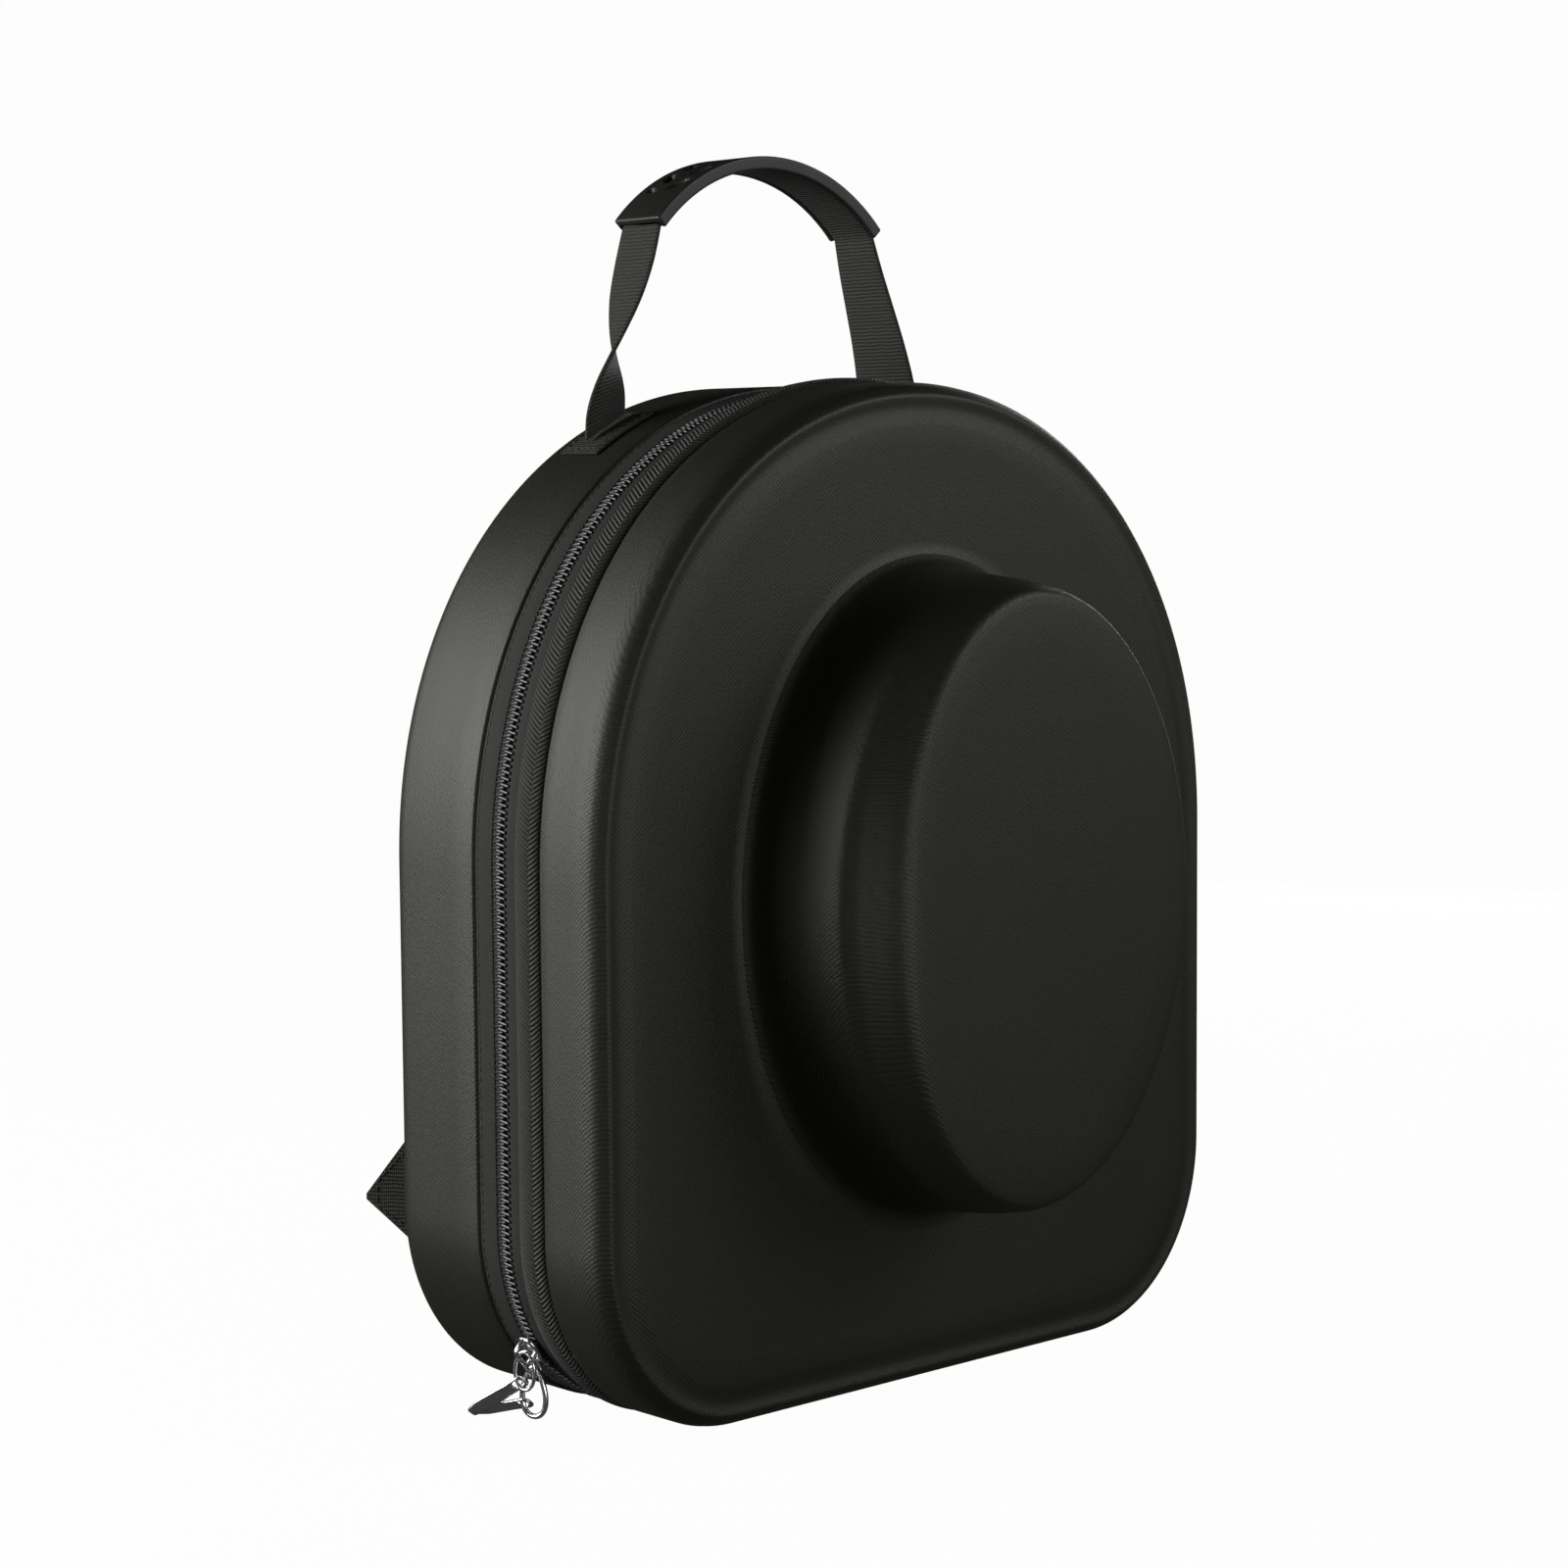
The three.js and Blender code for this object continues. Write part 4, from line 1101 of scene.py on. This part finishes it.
def wing_point(side, u, v, deep):
    """Point of a wing: u from the back's edge to the tip, v from its lower to its upper side."""
    foot, tip = BACK_FACE + GAP, BACK_FACE + WING_REACH
    base = np.array([WING_BASE_OFFSET, foot, WING_LOW + (WING_HIGH - WING_LOW) * v])
    end = np.array([WING_TIP_OFFSET, tip, WING_TIP_HEIGHT - WING_TIP_BLUNT * (1 - v)])
    point = base + (end - base) * u
    point[0] -= deep
    point[0] *= side
    return point


def strap_wing(side):
    half = STRAP_THICKNESS / 2
    up = np.linspace(0, 1, 17)
    rings = []
    for u in np.linspace(0, 1, 15):
        sag = 0.25 * half * math.sin(math.pi * u) * np.sin(math.pi * up)
        ring = [wing_point(side, u, v, deep) for v, deep in zip(up, sag)]
        ring.append(wing_point(side, u, 1.0, half))
        ring += [wing_point(side, u, v, STRAP_THICKNESS - deep) for v, deep in zip(up[::-1], sag[::-1])]
        ring.append(wing_point(side, u, 0.0, half))
        rings.append(ring)
    rings = np.array(rings)
    uv = rings[:, :, 1:3].reshape(-1, 2)
    return tube_object(f"wing_cloth_{side_name(side)}", rings, uv=uv)


def wing_stitches(material):
    lines = []
    for side in (-1, 1):
        out = np.array([float(side), 0, 0])
        for v in (0.1, 0.9):
            lines.append(([wing_point(side, u, v, 0) for u in np.linspace(0.05, 0.86, 9)], out))
        lines.append(([wing_point(side, 0.84, v, 0) for v in np.linspace(0.15, 0.85, 5)], out))
    thread_along("wing_stitches", lines, material)


def strap_yoke():
    loop = rounded_loop([(-YOKE_WIDTH / 2, 0), (YOKE_WIDTH / 2, 0), (YOKE_WIDTH / 2, YOKE_HEIGHT),
                         (-YOKE_WIDTH / 2, YOKE_HEIGHT)], YOKE_CORNER, steps=6, spacing=4 * MM)
    rings = []
    for deep, shrink in ((0.0, 0.6), (0.25, 0.1), (1.0, 0.0), (1.75, 0.1), (2.0, 0.6)):
        flat = loop_inward(loop, shrink * MM)
        y = BACK_FACE + GAP + deep / 2 * YOKE_THICKNESS
        rings.append([(x, y, STRAP_TOP_HEIGHT + GAP + z) for x, z in flat])
    uv = np.array(rings)[:, :, [0, 2]].reshape(-1, 2)
    return tube_object("yoke_cloth", rings, uv=uv)


def yoke_stitches(material):
    y = BACK_FACE + GAP + YOKE_THICKNESS + THREAD_LIFT
    x = YOKE_WIDTH / 2 - YOKE_STITCH_EDGE
    low = STRAP_TOP_HEIGHT + GAP + YOKE_STITCH_EDGE
    high = STRAP_TOP_HEIGHT + YOKE_HEIGHT - YOKE_STITCH_EDGE
    out = np.array([0, 1.0, 0])
    lines = [([(-x, y, z), (x, y, z)], out) for z in (low, high)]
    lines += [([(a, y, low), (a, y, high)], out) for a in (-x, x)]
    for side in (-1, 1):
        near, far = side * YOKE_CROSS_NEAR, side * YOKE_CROSS_FAR
        lines.append(([(near, y, low), (far, y, high)], out))
        lines.append(([(far, y, low), (near, y, high)], out))
    thread_along("yoke_stitches", lines, material)


# Zip slider and its pulls

def both_sides(rows, width):
    """Closed outline from rows of place and half width, the latter as a share of the width."""
    return [(x, y * width) for x, y in rows] + [(x, -y * width) for x, y in rows[::-1]]


def slider_frame():
    """Axes of the slider: along the zip, across it and out of the case."""
    x, z, out_x, out_z = (float(v) for v in corner_points(-1, SLIDER_SHARE * math.pi / 2))
    out = unit((out_x, 0, out_z))
    along = np.array([-out[2], 0, out[0]])
    lift = CHAIN_THICKNESS / 3 - TAPE_INSET + GAP
    origin = np.array([x, ZIP_PLANE, z]) + out * lift
    return origin, np.stack([along, np.array([0.0, -1.0, 0.0]), out])


def slider_place(x, y, z):
    origin, axes = slider_frame()
    return origin + np.array([x, y, z]) @ axes


def swept_bar(points, width, height, side):
    """Rings of a bar of rounded square section through points, with its width along a given direction."""
    points = np.asarray(points, float)
    way = units(np.gradient(points, axis=0))
    turn = (np.arange(12) + 0.5) / 12 * 2 * math.pi
    corners = np.stack([np.cos(turn), np.sin(turn)], 1)
    section = np.copysign(np.abs(corners) ** BAR_SQUARENESS, corners)
    rings = []
    for k, centre in enumerate(points):
        face = unit(np.cross(way[k], side))
        rings.append([centre + side * a * width / 2 + face * b * height / 2 for a, b in section])
    return rings


def zip_slider():
    """Slider: a waisted plate with a bridge over it and an eye at its lower end."""
    half = SLIDER_LENGTH / 2
    rows = [(-half, 0.32), (-0.4 * half, 0.5), (0.5 * half, 0.5), (half, 0.36)]
    loop = rounded_loop(both_sides(rows, SLIDER_WIDTH), SLIDER_CORNER, steps=5, spacing=0.7 * MM)
    rings = []
    for up_share, shrink in ((0.0, 0.35), (0.15, 0.08), (0.4, 0.0), (0.7, 0.05), (0.92, 0.3), (1.0, 0.7)):
        flat = loop_inward(loop, shrink * MM)
        rings.append([slider_place(x, y, up_share * SLIDER_PLATE) for x, y in flat])
    plate = tube_object("slider_plate", rings)
    eye = half + EYE_REACH
    top = SLIDER_PLATE + BRIDGE_RISE
    arch = spline_rows([
        (-half * 0.86, 0.6 * SLIDER_PLATE),
        (-half * 0.84, SLIDER_PLATE + 0.45 * BRIDGE_RISE),
        (-half * 0.6, top - BRIDGE_BAR / 2),
        (half * 0.1, top - BRIDGE_BAR / 2),
        (half * 0.7, top - 0.06 * BRIDGE_RISE - BRIDGE_BAR / 2),
        (eye - BRIDGE_BAR, top - 0.1 * BRIDGE_RISE - BRIDGE_BAR / 2),
        (eye - BRIDGE_BAR / 2, SLIDER_PLATE + 0.3 * BRIDGE_RISE),
        (eye - BRIDGE_BAR, SLIDER_PLATE - 0.3 * BRIDGE_BAR),
        (half * 0.9, 0.6 * SLIDER_PLATE),
    ], 7)
    points = [slider_place(x, 0, z) for x, z in arch]
    side = slider_frame()[1][1]
    bridge = tube_object("slider_bridge", swept_bar(points, BRIDGE_WIDTH, BRIDGE_BAR, side))
    post_foot = slider_place(BRIDGE_SHARE * SLIDER_LENGTH, 0, 0.6 * SLIDER_PLATE)
    post_top = slider_place(BRIDGE_SHARE * SLIDER_LENGTH, 0, top - 0.4 * BRIDGE_BAR)
    post_points = [post_foot + (post_top - post_foot) * t for t in np.linspace(0, 1, 5)]
    post = swept_bar(post_points, BRIDGE_WIDTH * POST_SHARE, BRIDGE_BAR * POST_SHARE, side)
    return plate, bridge, tube_object("slider_post", post)


def ring_place(ring, turn):
    down = (1 - math.cos(turn)) / 2
    spread = math.sin(turn) * ring["width"] / 2 * (1 - ring["narrowing"] * (1 - down))
    return ring["top"] + ring["across"] * spread + np.array([0, 0, -down * ring["length"]])


def ring_way(ring, turn):
    step = 0.01
    return unit(ring_place(ring, turn + step) - ring_place(ring, turn - step))


def wire_ring(name, ring):
    steps = 72
    radius = ring["wire"]
    around = np.arange(12) / 12 * 2 * math.pi
    face = unit(np.cross(ring["across"], (0, 0, 1.0)))
    rings = []
    for k in range(steps):
        turn = k / steps * 2 * math.pi
        side = unit(np.cross(face, ring_way(ring, turn)))
        centre = ring_place(ring, turn)
        rings.append([centre + face * radius * math.cos(a) + side * radius * math.sin(a) for a in around])
    return tube_object(name, rings, looped=True)


def pull_rings():
    """Wire loop under the bridge and drop-shaped ring in the eye, as they hang."""
    hang = SLIDER_PLATE + BRIDGE_RISE * 0.33
    loop = {"top": slider_place(-SLIDER_LENGTH * 0.08, 0, hang), "across": unit(LOOP_ACROSS),
            "length": LOOP_LENGTH, "width": LOOP_WIDTH, "wire": LOOP_WIRE, "narrowing": LOOP_NARROWING}
    drop = {"top": slider_place(SLIDER_LENGTH / 2 + EYE_REACH / 4, 0, hang), "across": unit(DROP_ACROSS),
            "length": DROP_LENGTH, "width": DROP_WIDTH, "wire": DROP_WIRE, "narrowing": DROP_NARROWING}
    return loop, drop


def pull_tab(name, ring, turn, reach):
    """Flat blade with a round hole and soft edges, threaded by a ring."""
    wire_way = ring_way(ring, turn)
    along = unit(reach - wire_way * reach.dot(wire_way))
    normal = math.cos(TAB_LEAN) * wire_way + math.sin(TAB_LEAN) * np.cross(along, wire_way)
    aside = np.cross(normal, along)
    rows = [(-TAB_HOLE * 0.8, 0.3), (-TAB_HOLE * 0.4, 0.46), (TAB_HOLE, 0.42),
            (TAB_LENGTH * 0.75, 0.5), (TAB_LENGTH, 0.3)]
    loop = rounded_loop(both_sides(rows, TAB_WIDTH), TAB_CORNER, steps=4, spacing=0.8 * MM)
    angle = np.arctan2(loop[:, 1], loop[:, 0])
    hole = np.stack([np.cos(angle), np.sin(angle)], 1) * TAB_HOLE / 2
    inward = loop_inward(loop, 0.25 * MM)
    half = TAB_THICKNESS / 2
    section = [(hole, -0.7 * half), (hole * 1.12, -half), (inward, -half), (loop, -0.45 * half),
               (loop, 0.45 * half), (inward, half), (hole * 1.12, half), (hole, 0.7 * half)]
    rings = np.stack([np.concatenate([flat, np.full((len(flat), 1), z)], 1) for flat, z in section])
    axes = np.stack([along, aside, normal])
    placed = rings @ axes + ring_place(ring, turn)
    return tube_object(name, placed, looped=True)


# Scene

def camera_mix(tree, lighting, seen, surface):
    """One shader lights the scene and the camera sees another in its place."""
    path = tree.nodes.new("ShaderNodeLightPath")
    mix = tree.nodes.new("ShaderNodeMixShader")
    tree.links.new(path.outputs["Is Camera Ray"], mix.inputs["Fac"])
    tree.links.new(lighting.outputs[0], mix.inputs[1])
    tree.links.new(seen.outputs[0], mix.inputs[2])
    tree.links.new(mix.outputs["Shader"], surface)


def stage():
    """Pale floor that runs into the pale background, and throws a little light up at the case."""
    n = Nodes("floor")
    soft = n.noise(n.object_place(), 3)
    colour = n.colours(soft, (0.012, 0.012, 0.012), (0.016, 0.016, 0.016))
    n.finish(colour, 0.9, None, Specular_IOR_Level=0.0)
    n.shader.inputs["Emission Color"].default_value = (1, 1, 0.995, 1)
    n.shader.inputs["Emission Strength"].default_value = FLOOR_GLOW
    bounce = n.add("ShaderNodeEmission", Strength=FLOOR_BOUNCE)
    camera_mix(n.tree, bounce, n.shader, n.tree.nodes["Material Output"].inputs["Surface"])
    half = FLOOR_SIZE / 2
    corners = [(-half, -half, 0), (half, -half, 0), (half, half, 0), (-half, half, 0)]
    plane = make_object("floor", corners, [(0, 1, 2, 3)], smooth=False)
    plane.data.materials.append(n.material)


def area_light(name, azimuth, distance, height, width, tall, power):
    """Soft box that faces the middle of the case."""
    data = bpy.data.lights.new(name, "AREA")
    data.shape = "RECTANGLE"
    data.size, data.size_y = width, tall
    data.energy = power
    light = bpy.data.objects.new(name, data)
    turn = math.radians(azimuth)
    place = Vector((math.sin(turn) * distance, -math.cos(turn) * distance, height))
    light.location = place
    light.rotation_euler = (LIGHT_TARGET - place).to_track_quat("-Z", "Y").to_euler()
    bpy.context.scene.collection.objects.link(light)


def lights():
    """Soft boxes in a dim room with a white backdrop."""
    world = bpy.data.worlds.new("studio")
    bpy.context.scene.world = world
    world.use_nodes = True
    tree = world.node_tree
    room = tree.nodes["Background"]
    room.inputs["Color"].default_value = (1, 1, 1, 1)
    room.inputs["Strength"].default_value = ROOM_LIGHT
    backdrop = tree.nodes.new("ShaderNodeBackground")
    backdrop.inputs["Color"].default_value = (1, 1, 0.995, 1)
    backdrop.inputs["Strength"].default_value = BACKDROP_GLOW
    camera_mix(tree, room, backdrop, tree.nodes["World Output"].inputs["Surface"])
    for row in LIGHTS:
        area_light(*row)


def camera():
    back = Vector((math.sin(VIEW_AZIMUTH) * math.cos(VIEW_ELEVATION),
                   -math.cos(VIEW_AZIMUTH) * math.cos(VIEW_ELEVATION), math.sin(VIEW_ELEVATION)))
    right = (-back).cross(Vector((0, 0, 1))).normalized()
    up = right.cross(-back)
    c, s = math.cos(VIEW_ROLL), math.sin(VIEW_ROLL)
    right, up = c * right + s * up, -s * right + c * up
    data = bpy.data.cameras.new("camera")
    data.lens = VIEW_LENS
    data.sensor_width = SENSOR
    data.sensor_fit = "HORIZONTAL"
    view = bpy.data.objects.new("camera", data)
    place = VIEW_TARGET + back * VIEW_DISTANCE + right * VIEW_ASIDE + up * VIEW_RAISE
    turn = Matrix((right, up, back)).transposed().to_4x4()
    view.matrix_world = Matrix.Translation(place) @ turn
    bpy.context.scene.collection.objects.link(view)
    bpy.context.scene.camera = view


def main():
    camera()
    lights()
    stage()
    bpy.context.scene.view_settings.view_transform = "Standard"
    shell = moulded_cloth()
    tape = woven_tape()
    webbing = ribbed_webbing()
    thread = stitch_thread()
    metal = bright_metal()
    finish_piece(back_shell(), shell, "moulded_shell", "back_shell")
    finish_piece(lid_shell(), shell, "moulded_shell", "lid_shell")
    zip_tapes(tape)
    sewn_strip(tape)
    zip_coil(coil_plastic())
    piping(piping_cloth())
    seam_stitches(thread)
    finish_piece(handle_grip(), grip_rubber(), "grip_rubber", "handle_grip")
    finish_piece(handle_strap(), webbing, "webbing", "handle_strap")
    finish_piece(strap_yoke(), webbing, "webbing", "strap_yoke")
    for side in (-1, 1):
        finish_piece(handle_patch(side), webbing, "webbing", f"handle_patch_{side_name(side)}")
        finish_piece(shoulder_strap(side), webbing, "webbing", f"shoulder_strap_{side_name(side)}")
        finish_piece(strap_wing(side), webbing, "webbing", f"strap_wing_{side_name(side)}")
    patch_stitches(thread)
    wing_stitches(thread)
    yoke_stitches(thread)
    for piece in zip_slider():
        finish_piece(piece, metal, "bright_metal", "zip_slider")
    loop, drop = pull_rings()
    upper = pull_tab("pull_tab_upper", loop, LOOP_TAB_TURN, LOOP_TAB_REACH)
    lower = pull_tab("pull_tab_lower", drop, DROP_TAB_TURN, DROP_TAB_REACH)
    finish_piece(wire_ring("pull_loop_wire", loop), metal, "bright_metal", "pull_loop")
    finish_piece(wire_ring("pull_drop_wire", drop), metal, "bright_metal", "pull_drop")
    finish_piece(upper, metal, "bright_metal", "pull_tab_loop")
    finish_piece(lower, metal, "bright_metal", "pull_tab_drop")


main()
